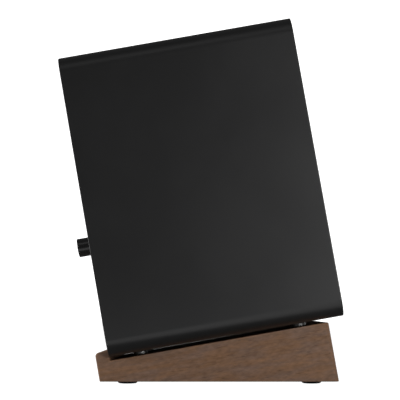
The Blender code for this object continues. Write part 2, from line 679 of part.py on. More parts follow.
def build_controls(frame, finish):
    radius, bore = KNOB_DIAMETER / 2, SHAFT_DIAMETER / 2 + FIT
    length = KNOB_REACH - KNOB_BOTTOM
    bore_end = length - KNOB_END_WALL
    turned(
        "knob",
        [
            (0, length),
            (radius - KNOB_EASE, length),
            (radius - KNOB_EASE * EASE_MIDDLE, length - KNOB_EASE * EASE_MIDDLE),
            (radius, length - KNOB_EASE),
            (radius, 0),
            (bore, 0),
            (bore, bore_end),
            (0, bore_end),
        ],
        frame,
        on_knob_axis(KNOB_BOTTOM),
        ALONG_Y,
        finish["knob"],
        steps=KNOB_SEGMENTS,
    )
    shaft_end = KNOB_BOTTOM + bore_end - FIT - COLLAR_BOTTOM
    shaft = SHAFT_DIAMETER / 2
    turned(
        "encoder_shaft",
        [
            (0, shaft_end),
            (shaft, shaft_end),
            (shaft, COLLAR_THICKNESS),
            (COLLAR_DIAMETER / 2, COLLAR_THICKNESS),
            (COLLAR_DIAMETER / 2, 0),
            (0, 0),
        ],
        frame,
        on_knob_axis(COLLAR_BOTTOM),
        ALONG_Y,
        finish["steel"],
        steps=SHAFT_SEGMENTS,
    )
    plunger_middle = COLLAR_BOTTOM - FIT - PLUNGER_THICKNESS / 2
    plunger = rod(COLLAR_DIAMETER / 2, PLUNGER_THICKNESS, SHAFT_SEGMENTS)
    finished(plunger, "encoder_plunger", frame, on_knob_axis(plunger_middle), ALONG_Y, finish["white_plastic"])
    size = Vector((ENCODER_SIZE, ENCODER_LENGTH, ENCODER_SIZE))
    middle = (ENCODER_TOP + ENCODER_BOTTOM) / 2
    encoder = finished(block(size), "encoder_body", frame, on_knob_axis(middle), material=finish["steel"])
    chamber_low, chamber_high = ENCODER_BOTTOM + ENCODER_WALL / 2, ENCODER_TOP - ENCODER_WALL
    chamber = rod(COLLAR_DIAMETER / 2 + FIT, chamber_high - chamber_low, SHAFT_SEGMENTS)
    mouth = rod(SHAFT_DIAMETER / 2 + FIT, 2 * CUT_OVER + ENCODER_WALL, SHAFT_SEGMENTS)
    cut(encoder, [
        finished(chamber, "encoder_chamber", frame, on_knob_axis((chamber_low + chamber_high) / 2), ALONG_Y),
        finished(mouth, "encoder_mouth", frame, on_knob_axis(ENCODER_TOP - ENCODER_WALL / 2), ALONG_Y),
    ])
    build_power_button(frame, finish)
    build_control_board(frame, finish)


def build_power_button(frame, finish):
    radius, flange, stem = BUTTON_DIAMETER / 2, BUTTON_FLANGE / 2, BUTTON_STEM / 2
    top = REAR_FACE + BUTTON_REACH
    flange_top = REAR_INNER - FIT
    stem_end = CONTROL_BOARD_TOP + FIT + SWITCH_HEIGHT + FIT + BUTTON_TRAVEL
    turned(
        "power_button",
        [
            (0, top),
            (radius - FIT, top),
            (radius, top - FIT),
            (radius, flange_top),
            (flange, flange_top),
            (flange, flange_top - BUTTON_FLANGE_THICKNESS),
            (stem, flange_top - BUTTON_FLANGE_THICKNESS),
            (stem, stem_end),
            (0, stem_end),
        ],
        frame,
        (BUTTON_X, 0, KNOB_AXIS_HEIGHT),
        ALONG_Y,
        finish["black_plastic"],
    )
    half = SWITCH_SIZE / 2
    block_between(
        "power_switch",
        (BUTTON_X - half, CONTROL_BOARD_TOP + FIT, KNOB_AXIS_HEIGHT - half),
        (BUTTON_X + half, CONTROL_BOARD_TOP + FIT + SWITCH_HEIGHT, KNOB_AXIS_HEIGHT + half),
        frame,
        finish["black_plastic"],
    )


def build_control_board(frame, finish):
    low, high = KNOB_AXIS_HEIGHT - CONTROL_BOARD_HEIGHT / 2, KNOB_AXIS_HEIGHT + CONTROL_BOARD_HEIGHT / 2
    board = block_between(
        "control_board",
        (-CONTROL_BOARD_OVERHANG, CONTROL_BOARD_TOP - BOARD_THICKNESS, low),
        (BUTTON_X + CONTROL_BOARD_OVERHANG, CONTROL_BOARD_TOP, high),
        frame,
        finish["circuit_board"],
    )
    for number, side in enumerate((-1, 1), 1):
        z = KNOB_AXIS_HEIGHT + side * CONTROL_POST_SPREAD
        hole = rod(M2[0] + FIT, BOARD_THICKNESS + 2 * CUT_OVER)
        place = (CONTROL_POST_X, CONTROL_BOARD_TOP - BOARD_THICKNESS / 2, z)
        cut(board, [finished(hole, f"control_board_hole_{number}", frame, place, ALONG_Y)])
        place = (CONTROL_POST_X, CONTROL_BOARD_TOP - BOARD_THICKNESS - FIT, z)
        name = f"control_board_screw_{number}"
        screw_piece(name, M2, CONTROL_SCREW_LENGTH, frame, place, HEAD_FORWARD, finish["steel"])


def board_post_places():
    side = BOARD_HALF - POST_INSET
    return [(x, y) for y in (BOARD_REAR - REAR_POST_INSET, BOARD_FRONT + POST_INSET) for x in (-side, side)]


def build_electronics(frame, finish):
    tray = block_between(
        "chassis_tray",
        (-TRAY_HALF, TRAY_FRONT, TRAY_BOTTOM),
        (TRAY_HALF, TRAY_REAR, TRAY_TOP + TRAY_FLANGE),
        frame,
        finish["steel"],
    )
    cut(tray, [
        block_between(
            "tray_trough",
            (-TRAY_HALF + SHEET, TRAY_FRONT - CUT_OVER, TRAY_TOP),
            (TRAY_HALF - SHEET, TRAY_REAR + CUT_OVER, TRAY_TOP + TRAY_FLANGE + CUT_OVER),
            frame,
        )
    ])
    for number, (x, y) in enumerate(BASE_SCREW_PLACES, 1):
        hole = rod(M4[0] + FIT, SHEET + 2 * CUT_OVER)
        cut(tray, [finished(hole, f"tray_hole_{number}", frame, (x, y, TRAY_TOP - SHEET / 2))])
    board = block_between(
        "main_board",
        (-BOARD_HALF, BOARD_FRONT, BOARD_BOTTOM),
        (BOARD_HALF, BOARD_REAR, BOARD_TOP),
        frame,
        finish["circuit_board"],
    )
    shank = M25[0]
    for number, (x, y) in enumerate(board_post_places(), 1):
        post = rod(POST_RADIUS, POST_HEIGHT + FIT)
        place = (x, y, TRAY_TOP + (POST_HEIGHT - FIT) / 2)
        cut(tray, [finished(post, f"post_{number}", frame, place)], "UNION")
        hole = rod(shank + FIT, POST_HEIGHT)
        cut(tray, [finished(hole, f"post_hole_{number}", frame, (x, y, TRAY_TOP + POST_HEIGHT))])
        hole = rod(shank + FIT, BOARD_THICKNESS + 2 * CUT_OVER)
        cut(board, [finished(hole, f"board_hole_{number}", frame, (x, y, BOARD_TOP - BOARD_THICKNESS / 2))])
        length = BOARD_THICKNESS + POST_HEIGHT / 2
        place = (x, y, BOARD_TOP + FIT)
        screw_piece(f"board_screw_{number}", M25, length, frame, place, ALONG_Z, finish["steel"])
    chip_y = BOARD_REAR - CHIP_FROM_REAR
    chip = Vector((CHIP_SIZE, CHIP_SIZE, CHIP_HEIGHT))
    chip_z = BOARD_TOP + FIT + CHIP_HEIGHT / 2
    finished(block(chip), "processor", frame, (0, chip_y, chip_z), material=finish["black_plastic"])
    build_heat_sink(frame, finish["bare_aluminium"], chip_y, BOARD_TOP + 2 * FIT + CHIP_HEIGHT)
    for name, sizes in CONNECTORS.items():
        build_connector(frame, finish, name, *sizes)


def build_heat_sink(frame, material, y, bottom):
    size = Vector((SINK_SIZE, SINK_SIZE, SINK_HEIGHT))
    sink = finished(block(size), "heat_sink", frame, (0, y, bottom + SINK_HEIGHT / 2), material=material)
    pitch = (SINK_SIZE - SINK_FIN) / (SINK_FINS - 1)
    gaps = bmesh.new()
    for index in range(SINK_FINS - 1):
        x = -SINK_SIZE / 2 + SINK_FIN + (pitch - SINK_FIN) / 2 + index * pitch
        gap = bmesh.ops.create_cube(gaps, size=1.0)["verts"]
        bmesh.ops.scale(gaps, vec=(pitch - SINK_FIN, SINK_SIZE + 2 * CUT_OVER, SINK_HEIGHT), verts=gap)
        bmesh.ops.translate(gaps, vec=(x, 0, SINK_BASE), verts=gap)
    cut(sink, [finished(gaps, "fin_gaps", frame, (0, y, bottom + SINK_HEIGHT / 2))])


def build_connector(frame, finish, name, x, width, height, length, mouth_width, mouth_height, mouth_depth):
    """A socket on the board's rear edge, open towards the rear, in a cut-out of the rear panel."""
    rear = REAR_FACE - PORT_RECESS
    bottom = BOARD_TOP + FIT
    middle = bottom + height / 2
    material = finish["black_plastic"] if name in ROUND_MOUTHS else finish["steel"]
    low, high = (x - width / 2, rear - length, bottom), (x + width / 2, rear, bottom + height)
    socket = block_between(name, low, high, frame, material)
    place = (x, rear - mouth_depth / 2 + CUT_OVER / 2, middle)
    if name in ROUND_MOUTHS:
        mouth = rod(mouth_width / 2, mouth_depth + CUT_OVER, MOUTH_SEGMENTS)
        cut(socket, [finished(mouth, f"{name}_mouth", frame, place, ALONG_Y)])
    else:
        mouth = block(Vector((mouth_width, mouth_depth + CUT_OVER, mouth_height)))
        cut(socket, [finished(mouth, f"{name}_mouth", frame, place)])
    tongue_length = mouth_depth - CUT_OVER / 2
    tongue_place = (x, rear - mouth_depth + tongue_length / 2 - FIT, middle)
    if name == "power_jack":
        pin = rod(JACK_PIN_RADIUS, tongue_length + 2 * FIT)
        cut(socket, [finished(pin, "jack_pin", frame, tongue_place, ALONG_Y)], "UNION")
    if name == "usb_socket":
        tongue = block(Vector((USB_TONGUE[0], tongue_length + 2 * FIT, USB_TONGUE[1])))
        cut(socket, [finished(tongue, "usb_tongue", frame, tongue_place)], "UNION")


def build_base(frame, finish):
    beyond = 2 * CUT_OVER
    outline = [
        (LIP_REAR + beyond, underside(LIP_REAR + beyond)),
        (LIP_REAR + beyond, LIP_TOP),
        (LIP_INNER, LIP_TOP),
        (LIP_INNER, SEAT),
        (BASE_FRONT - beyond, SEAT),
        (BASE_FRONT - beyond, underside(BASE_FRONT - beyond)),
    ]
    base = outline_solid("walnut_base", outline, BASE_WIDTH + 2 * beyond, frame, finish["walnut"])
    bottom = underside(BASE_FRONT) - beyond
    plan = block_between(
        "base_plan",
        (-BASE_WIDTH / 2, BASE_FRONT, bottom),
        (BASE_WIDTH / 2, LIP_REAR, LIP_TOP + beyond),
        frame,
        corner=BASE_CORNER,
        axis="Z",
        segments=BASE_CORNER_SEGMENTS,
    )
    cut(base, [plan], "INTERSECT")
    shank, head, height = M4
    head_seat = SEAT - BASE_SCREW_GRIP
    tip = TRAY_TOP + BASE_SCREW_TIP
    for number, (x, y) in enumerate(BASE_SCREW_PLACES, 1):
        hole = rod(shank + FIT, BASE_SCREW_GRIP + 2 * CUT_OVER)
        cut(base, [finished(hole, f"base_hole_{number}", frame, (x, y, SEAT - BASE_SCREW_GRIP / 2))])
        reach = head_seat - underside(y) + 2 * CUT_OVER
        counterbore = rod(head + FIT, reach, BOSS_SEGMENTS)
        cut(base, [finished(counterbore, f"counterbore_{number}", frame, (x, y, head_seat - reach / 2))])
        place = (x, y, head_seat - FIT)
        length = tip - head_seat + FIT
        screw_piece(f"base_screw_{number}", M4, length, frame, place, HEAD_DOWN, finish["black_steel"])
        outer, inner = SPACER_DIAMETER / 2, shank + FIT
        turned(
            f"base_spacer_{number}",
            [(outer, -FIT), (outer, SEAT + FIT), (inner, SEAT + FIT), (inner, -FIT)],
            frame,
            (x, y, 0),
            ALONG_Z,
            finish["bright_steel"],
            closed=True,
            steps=SHAFT_SEGMENTS,
        )
    build_feet(base, frame, finish["rubber"])


def build_feet(base, frame, rubber):
    """Four domed bumpers, upright in the world and set in shallow pockets of the level underside."""
    rear = frame.location.y + world_y(LIP_REAR, underside(LIP_REAR)) - FOOT_INSET
    front = frame.location.y + world_y(BASE_FRONT, underside(BASE_FRONT)) + FOOT_INSET
    side = BASE_WIDTH / 2 - FOOT_SIDE_INSET
    radius, top = FOOT_DIAMETER / 2, FOOT_HEIGHT + FOOT_POCKET - FIT
    dome = []
    for step in range(DOME_STEPS + 1):
        angle = step / DOME_STEPS * math.pi / 2
        share = FOOT_FLAT + (1 - FOOT_FLAT) * math.cos(angle)
        dome.append((radius * share, FOOT_HEIGHT * FOOT_DOME * (1 - math.sin(angle))))
    profile = [(0, top), (radius, top), *dome, (0, 0)]
    for number, (x, y) in enumerate([(x, y) for y in (front, rear) for x in (-side, side)], 1):
        pocket = rod(radius + FIT, 2 * FOOT_POCKET, ROUND_SEGMENTS)
        cut(base, [finished(pocket, f"foot_pocket_{number}", None, (x, y, FOOT_HEIGHT))])
        turned(f"base_foot_{number}", profile, None, (x, y, 0), ALONG_Z, rubber, steps=SHAFT_SEGMENTS)


clear_scene()
PARTS = new_collection("digital_photo_frame")
CUTTERS = new_collection("cutters")
CASE_FRAME = bpy.data.objects.new("case_frame", None)
PARTS.objects.link(CASE_FRAME)
CASE_FRAME.location = frame_place()
CASE_FRAME.rotation_euler = (-TILT, 0, 0)
FINISH = {
    "case_aluminium": new_material("case_aluminium", (0.018, 0.018, 0.019), 0.45, 0.3),
    "black_metal": new_material("black_metal", (0.02, 0.02, 0.021), 0.5, 0.3),
    "black_plastic": new_material("black_plastic", (0.015, 0.015, 0.016), 0.45),
    "knob": new_material("knob", (0.012, 0.012, 0.013), 0.35, 0.5),
    "glass": new_material("glass", (0.02, 0.02, 0.025), 0.05, alpha=0.3),
    "screen": new_material("screen", (0.03, 0.035, 0.04), 0.2),
    "steel": new_material("steel", (0.55, 0.56, 0.57), 0.35, 0.9),
    "bright_steel": new_material("bright_steel", (0.7, 0.7, 0.68), 0.2, 1.0),
    "black_steel": new_material("black_steel", (0.03, 0.03, 0.03), 0.4, 0.8),
    "bare_aluminium": new_material("bare_aluminium", (0.75, 0.76, 0.77), 0.35, 0.9),
    "white_plastic": new_material("white_plastic", (0.8, 0.8, 0.78), 0.5),
    "foam": new_material("foam", (0.05, 0.05, 0.05), 0.95),
    "ribbon": new_material("ribbon", (0.55, 0.33, 0.1), 0.5),
    "circuit_board": new_material("circuit_board", (0.02, 0.12, 0.06), 0.5),
    "cone_paper": new_material("cone_paper", (0.03, 0.03, 0.03), 0.85),
    "walnut": new_material("walnut", (0.13, 0.075, 0.045), 0.6),
    "rubber": new_material("rubber", (0.02, 0.02, 0.02), 0.85),
}
build_case(CASE_FRAME, FINISH["case_aluminium"])
build_screen(CASE_FRAME, FINISH)
build_rear_panel(CASE_FRAME, FINISH)
build_speaker(CASE_FRAME, FINISH)
build_controls(CASE_FRAME, FINISH)
build_electronics(CASE_FRAME, FINISH)
build_base(CASE_FRAME, FINISH)
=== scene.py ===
"""Looks of a desk photo frame: a black anodised case that leans back on a walnut wedge.

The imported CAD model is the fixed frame. Every visible piece is a surface worked out here with numpy from the
CAD nodes' own boxes, and every carried node gets a procedural finish.
"""

from __future__ import annotations

import json
import logging
import math
import sys
from dataclasses import dataclass, field
from enum import Enum
from typing import Sequence

import bmesh
import bpy
import numpy as np
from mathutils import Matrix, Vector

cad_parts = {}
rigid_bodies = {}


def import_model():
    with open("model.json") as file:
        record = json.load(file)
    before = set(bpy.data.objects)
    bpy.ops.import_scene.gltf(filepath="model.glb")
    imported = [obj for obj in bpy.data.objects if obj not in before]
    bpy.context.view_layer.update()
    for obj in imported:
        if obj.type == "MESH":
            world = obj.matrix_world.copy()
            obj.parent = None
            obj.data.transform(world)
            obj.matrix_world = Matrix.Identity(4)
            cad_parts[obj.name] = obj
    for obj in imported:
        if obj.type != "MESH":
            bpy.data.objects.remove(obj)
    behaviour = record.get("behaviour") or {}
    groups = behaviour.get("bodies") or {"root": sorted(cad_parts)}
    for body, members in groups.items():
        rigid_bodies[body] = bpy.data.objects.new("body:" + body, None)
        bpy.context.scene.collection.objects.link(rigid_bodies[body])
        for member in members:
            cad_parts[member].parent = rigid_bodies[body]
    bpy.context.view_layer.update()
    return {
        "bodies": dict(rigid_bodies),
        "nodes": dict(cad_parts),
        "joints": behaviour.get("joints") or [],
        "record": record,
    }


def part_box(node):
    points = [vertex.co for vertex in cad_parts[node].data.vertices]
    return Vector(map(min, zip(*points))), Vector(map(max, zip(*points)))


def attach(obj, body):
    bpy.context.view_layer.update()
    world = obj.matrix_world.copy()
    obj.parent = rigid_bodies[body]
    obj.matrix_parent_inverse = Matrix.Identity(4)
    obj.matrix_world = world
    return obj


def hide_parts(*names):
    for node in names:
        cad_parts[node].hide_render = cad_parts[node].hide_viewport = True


LOG = logging.getLogger("photo_frame")
MM = 0.001
CLEARANCE = 0.3 * MM  # between touching CAD pieces


class Body(Enum):
    """The rigid bodies of the CAD model."""

    CASE = "case"
    KNOB = "knob"
    BUTTON = "power_button"


# --------------------------------------------------------------------------------------------------
# Places


@dataclass(frozen=True)
class LocalBox:
    """A node's box in the case's leaning frame."""

    low: np.ndarray
    high: np.ndarray

    @property
    def size(self) -> np.ndarray:
        """The three edges of the box."""
        return self.high - self.low

    @property
    def middle(self) -> np.ndarray:
        """The centre of the box."""
        return (self.high + self.low) / 2


@dataclass(frozen=True)
class CaseAxes:
    """The case's leaning frame: x across, y to the rear from the rear rim, z up the case from its underside."""

    origin: np.ndarray
    back: np.ndarray
    up: np.ndarray
    nodes: dict

    @classmethod
    def from_model(cls, model: dict) -> "CaseAxes":
        """Reads the lean from the knob's turning axis and the origin from the case's own corners.


        Returns:
            The frame, in the row frame's metres.
        """
        knob = next(joint for joint in model["joints"] if joint["name"] == "knob_turn")
        back = np.array(knob["axis"], float)
        back /= np.linalg.norm(back)
        up = np.cross((1.0, 0.0, 0.0), back)
        points = node_points(model["nodes"]["case_shell"])
        origin = back * (points @ back).max() + up * (points @ up).min()
        return cls(origin, back, up, model["nodes"])

    def local(self, points: np.ndarray) -> np.ndarray:
        """World points as (x, y, z) of this frame."""
        moved = points - self.origin
        return np.stack([points[..., 0], moved @ self.back, moved @ self.up], axis=-1)

    def world(self, points: np.ndarray) -> np.ndarray:
        """Points of this frame in the world."""
        points = np.asarray(points, float)
        across = points[..., :1] * np.array((1.0, 0.0, 0.0))
        return self.origin + across + points[..., 1:2] * self.back + points[..., 2:3] * self.up

    def at(self, x: float, y: float, z: float) -> np.ndarray:
        """One point of this frame in the world."""
        return self.world(np.array([x, y, z]))

    def box(self, node: str) -> LocalBox:
        """The box of a CAD node in this frame."""
        points = self.local(node_points(self.nodes[node]))
        return LocalBox(points.min(axis=0), points.max(axis=0))


def mesh_points(mesh: bpy.types.Mesh) -> np.ndarray:
    """The vertices of a mesh."""
    flat = np.empty(len(mesh.vertices) * 3, np.float32)
    mesh.vertices.foreach_get("co", flat)
    return flat.reshape(-1, 3).astype(float)


def node_points(node: bpy.types.Object) -> np.ndarray:
    """The vertices of a CAD node, which lies in the world frame."""
    return mesh_points(node.data)


def linked(name: str, data: bpy.types.ID) -> bpy.types.Object:
    """A new object in the scene."""
    made = bpy.data.objects.new(name, data)
    bpy.context.scene.collection.objects.link(made)
    return made


# --------------------------------------------------------------------------------------------------
# Surfaces


@dataclass(frozen=True)
class Corner:
    """A corner of a flat outline, rounded to a radius."""

    a: float
    b: float
    radius: float = 0.0


def filleted(
    corners: Sequence[Corner], closed: bool = True, steps: int = 5, support: float = 0.25 * MM
) -> np.ndarray:
    """An outline whose corners are arcs tangent to both sides, with a point just before and after each arc.

    For a corner of opening angle w and radius r the arc starts r / tan(w / 2) along each side, and its centre is
    r / sin(w / 2) along the bisector.

    Args:
        corners: the corners in order.
        closed: whether the last corner joins the first. The ends of an open outline stay as they are.
        steps: segments per arc.
        support: distance of the extra point beyond each end of an arc.

    Returns:
        Points, one row of (a, b) each.
    """
    places = np.array([(corner.a, corner.b) for corner in corners])
    runs = []
    for index, corner in enumerate(corners):
        inner = closed or 0 < index < len(corners) - 1
        if corner.radius <= 0 or not inner:
            runs.append(places[index : index + 1])
            continue
        before = places[index - 1] - places[index]
        after = places[(index + 1) % len(corners)] - places[index]
        before, after = before / np.linalg.norm(before), after / np.linalg.norm(after)
        half = math.acos(float(np.clip(before @ after, -1, 1))) / 2
        reach = corner.radius / math.tan(half)
        bisector = (before + after) / np.linalg.norm(before + after)
        centre = places[index] + bisector * corner.radius / math.sin(half)
        start, end = places[index] + before * reach - centre, places[index] + after * reach - centre
        sweep = math.atan2(start[0] * end[1] - start[1] * end[0], start @ end)
        angles = np.linspace(0, sweep, steps + 1)[:, None]
        side = np.array([-start[1], start[0]])
        arc = centre + start * np.cos(angles) + side * np.sin(angles)
        lead, tail = arc[:1] + before * support, arc[-1:] + after * support
        runs.append(np.concatenate([lead, arc, tail]))
    return np.concatenate(runs)


@dataclass(frozen=True)
class RoundedLoop:
    """A rounded rectangle across the case, drawn at any inset, its corners tightening as it goes in."""

    width: float
    height: float
    radius: float
    centre: tuple[float, float] = (0.0, 0.0)
    smallest: float = 0.4 * MM
    steps: int = 10
    support: float = 0.5 * MM

    def at(self, inset: float) -> np.ndarray:
        """The loop's points at an inset, counter-clockwise: four arcs, each led and trailed by one point."""
        half = np.array([self.width / 2 - inset, self.height / 2 - inset])
        radius = max(self.radius - inset, self.smallest)
        turns = np.arange(4)[:, None] * math.pi / 2
        angles = turns + np.linspace(0, math.pi / 2, self.steps + 1)
        signs = np.array([(1, 1), (-1, 1), (-1, -1), (1, -1)])
        centres = (signs * (half - radius))[:, None, :]
        arcs = centres + radius * np.stack([np.cos(angles), np.sin(angles)], axis=-1)
        tangents = np.stack([-np.sin(angles), np.cos(angles)], axis=-1) * self.support
        lead, tail = arcs[:, :1] - tangents[:, :1], arcs[:, -1:] + tangents[:, -1:]
        return np.concatenate([lead, arcs, tail], axis=1).reshape(-1, 2) + np.array(self.centre)

    def carried(self, profile: np.ndarray) -> np.ndarray:
        """A profile of (inset, depth) carried round the loop: local points, one ring per profile row."""
        rings = np.stack([self.at(inset) for inset in profile[:, 0]])
        depth = np.broadcast_to(profile[:, 1:2, None], rings.shape[:2] + (1,))
        return np.concatenate([rings[..., :1], depth, rings[..., 1:]], axis=-1)


def turned(profile: np.ndarray, centre: np.ndarray, axis: np.ndarray, steps: int = 64) -> np.ndarray:
    """A profile of (radius, height) turned about an axis: p = centre + r (u cos t + v sin t) + h axis.

    Args:
        profile: rows of (radius, height).
        centre: the point of the axis where the height is zero, in the world.
        axis: unit vector of the axis, in the world.
        steps: points round the axis.

    Returns:
        A grid of world points, one ring per profile row.
    """
    u = np.array((1.0, 0.0, 0.0))
    v = np.cross(axis, u)
    angle = np.linspace(0, 2 * math.pi, steps, endpoint=False)
    spokes = np.cos(angle)[:, None] * u + np.sin(angle)[:, None] * v
    return centre + profile[:, :1, None] * spokes + profile[:, 1:2, None] * axis


def socketed(
    profile: np.ndarray, socket: float, depth: float, centre: np.ndarray, axis: np.ndarray
) -> np.ndarray:
    """A turned head with a hexagonal drive socket sunk in its top.

    The socket's radius at the angle t is a / cos((t mod 60 degrees) - 30 degrees), with a the hexagon's apothem.

    Args:
        profile: (radius, height) rows from the shank up to the rim of the top face.
        socket: the hexagon's apothem.
        depth: the socket's depth below the top face.
        centre: the point of the axis where the height is zero.
        axis: unit vector from the shank to the head.

    Returns:
        A grid of world points whose last ring is the socket's floor.
    """
    steps = 48
    head = turned(profile, centre, axis, steps)
    angle = np.linspace(0, 2 * math.pi, steps, endpoint=False)
    hexagon = socket / np.cos(np.mod(angle, math.pi / 3) - math.pi / 6)
    unit = (turned(np.array([(1.0, 0.0)]), np.zeros(3), axis, steps))[0]
    top = centre + profile[-1, 1] * axis
    ease = 0.15 * MM
    rings = [
        top + unit * (hexagon + ease)[:, None],
        top + unit * hexagon[:, None] - ease * axis,
        top + unit * hexagon[:, None] - depth * axis,
        top + unit * hexagon[:, None] * 0.3 - (depth + socket * 0.3) * axis,
    ]
    return np.concatenate([head, np.stack(rings)])


@dataclass
class Piece:
    """A new piece on its way into the scene: its mesh data, its finish, and the body and nodes it stands for."""

    name: str
    finish: "Finish"
    body: Body = Body.CASE
    stands_for: tuple[str, ...] = ()
    slot: str | None = None
    crease: float = 32.0

    def surface(self, grid: np.ndarray, wrap: bool = False, capped: bool = True) -> bpy.types.Object:
        """Joins the rings of a grid with quads. The rings are closed round.

        Args:
            grid: points, indexed (ring, point round the ring, xyz), in the world.
            wrap: whether the last ring joins the first.
            capped: whether flat faces close the first and the last ring of an open run.

        Returns:
            The finished object.
        """
        rings, around = grid.shape[:2]
        index = np.arange(rings * around).reshape(rings, around)
        lower = index if wrap else index[:-1]
        upper = np.roll(index, -1, axis=0) if wrap else index[1:]
        quads = np.stack([lower, np.roll(lower, -1, axis=1), np.roll(upper, -1, axis=1), upper], axis=-1)
        faces = quads.reshape(-1, 4).tolist()
        if capped and not wrap:
            faces += [index[0, ::-1].tolist(), index[-1].tolist()]
        mesh = bpy.data.meshes.new(self.name)
        mesh.from_pydata(grid.reshape(-1, 3).tolist(), [], faces)
        return self.adopt(mesh)

    def adopt(self, mesh: bpy.types.Mesh) -> bpy.types.Object:
        """Turns a closed mesh outwards, shades it with flat caps, dresses it and puts it on its body."""
        shell = bmesh.new()
        shell.from_mesh(mesh)
        bmesh.ops.recalc_face_normals(shell, faces=shell.faces)
        shell.to_mesh(mesh)
        shell.free()
        mesh.shade_smooth()
        mesh.set_sharp_from_angle(angle=math.radians(self.crease))
        sides = np.empty(len(mesh.polygons), np.int32)
        mesh.polygons.foreach_get("loop_total", sides)
        mesh.polygons.foreach_set("use_smooth", sides <= 4)
        mesh.materials.clear()
        mesh.materials.append(self.finish.material())
        obj = linked(self.name, mesh)
        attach(obj, self.body.value)
        if self.stands_for:
            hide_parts(*self.stands_for)
        LOG.info("%s on %s, %d faces", self.name, self.body.value, len(mesh.polygons))
        return obj


def flat_plate(outer: np.ndarray, holes: Sequence[np.ndarray], thickness: float, ease: float) -> bpy.types.Mesh:
    """A plate cut to an outline and pierced by holes, with every edge eased, lying in the curve's own x, y plane.

    Args:
        outer: the outline's points.
        holes: the outline of each hole.
        thickness: the plate's full thickness.
        ease: radius of the eased edges, taken from inside the outline.

    Returns:
        A closed mesh, its thickness along z and centred on z = 0.
    """
    data = bpy.data.curves.new("plate_outline", "CURVE")
    data.dimensions = "2D"
    data.fill_mode = "BOTH"
    data.extrude = thickness / 2 - ease
    data.bevel_depth = ease
    data.bevel_resolution = 2
    data.offset = -ease
    for points in (outer, *holes):
        spline = data.splines.new("POLY")
        spline.points.add(len(points) - 1)
        rows = np.concatenate([points, np.zeros((len(points), 1)), np.ones((len(points), 1))], axis=1)
        spline.points.foreach_set("co", rows.ravel().astype(np.float32))
        spline.use_cyclic_u = True
    curve = linked("plate_outline", data)
    bpy.context.view_layer.update()
    mesh = bpy.data.meshes.new_from_object(curve.evaluated_get(bpy.context.evaluated_depsgraph_get()))
    bpy.data.objects.remove(curve)
    shell = bmesh.new()
    shell.from_mesh(mesh)
    bmesh.ops.remove_doubles(shell, verts=shell.verts, dist=0.002 * MM)
    shell.to_mesh(mesh)
    shell.free()
    return mesh


def laid_across(mesh: bpy.types.Mesh, axes: CaseAxes, depth: float) -> bpy.types.Mesh:
    """Moves a plate from its own x, y plane to the plane across the case at a depth."""
    points = mesh_points(mesh)
    local = np.stack([points[:, 0], depth - points[:, 2], points[:, 1]], axis=-1)
    mesh.vertices.foreach_set("co", axes.world(local).ravel().astype(np.float32))
    mesh.update()
    return mesh


def circle(radius: float, centre: Sequence[float], steps: int = 48) -> np.ndarray:
    """Points round a circle."""
    angle = np.linspace(0, 2 * math.pi, steps, endpoint=False)
    return np.stack([np.cos(angle), np.sin(angle)], axis=-1) * radius + np.array(centre)


def stadium(length: float, height: float, centre: Sequence[float], steps: int = 10) -> np.ndarray:
    """Points round a slot with half-round ends."""
    angle = np.linspace(-math.pi / 2, math.pi / 2, steps + 1)
    end = np.stack([np.cos(angle), np.sin(angle)], axis=-1) * height / 2 + np.array([(length - height) / 2, 0])
    return np.concatenate([end, -end]) + np.array(centre)


# --------------------------------------------------------------------------------------------------
# Shader groups and finishes


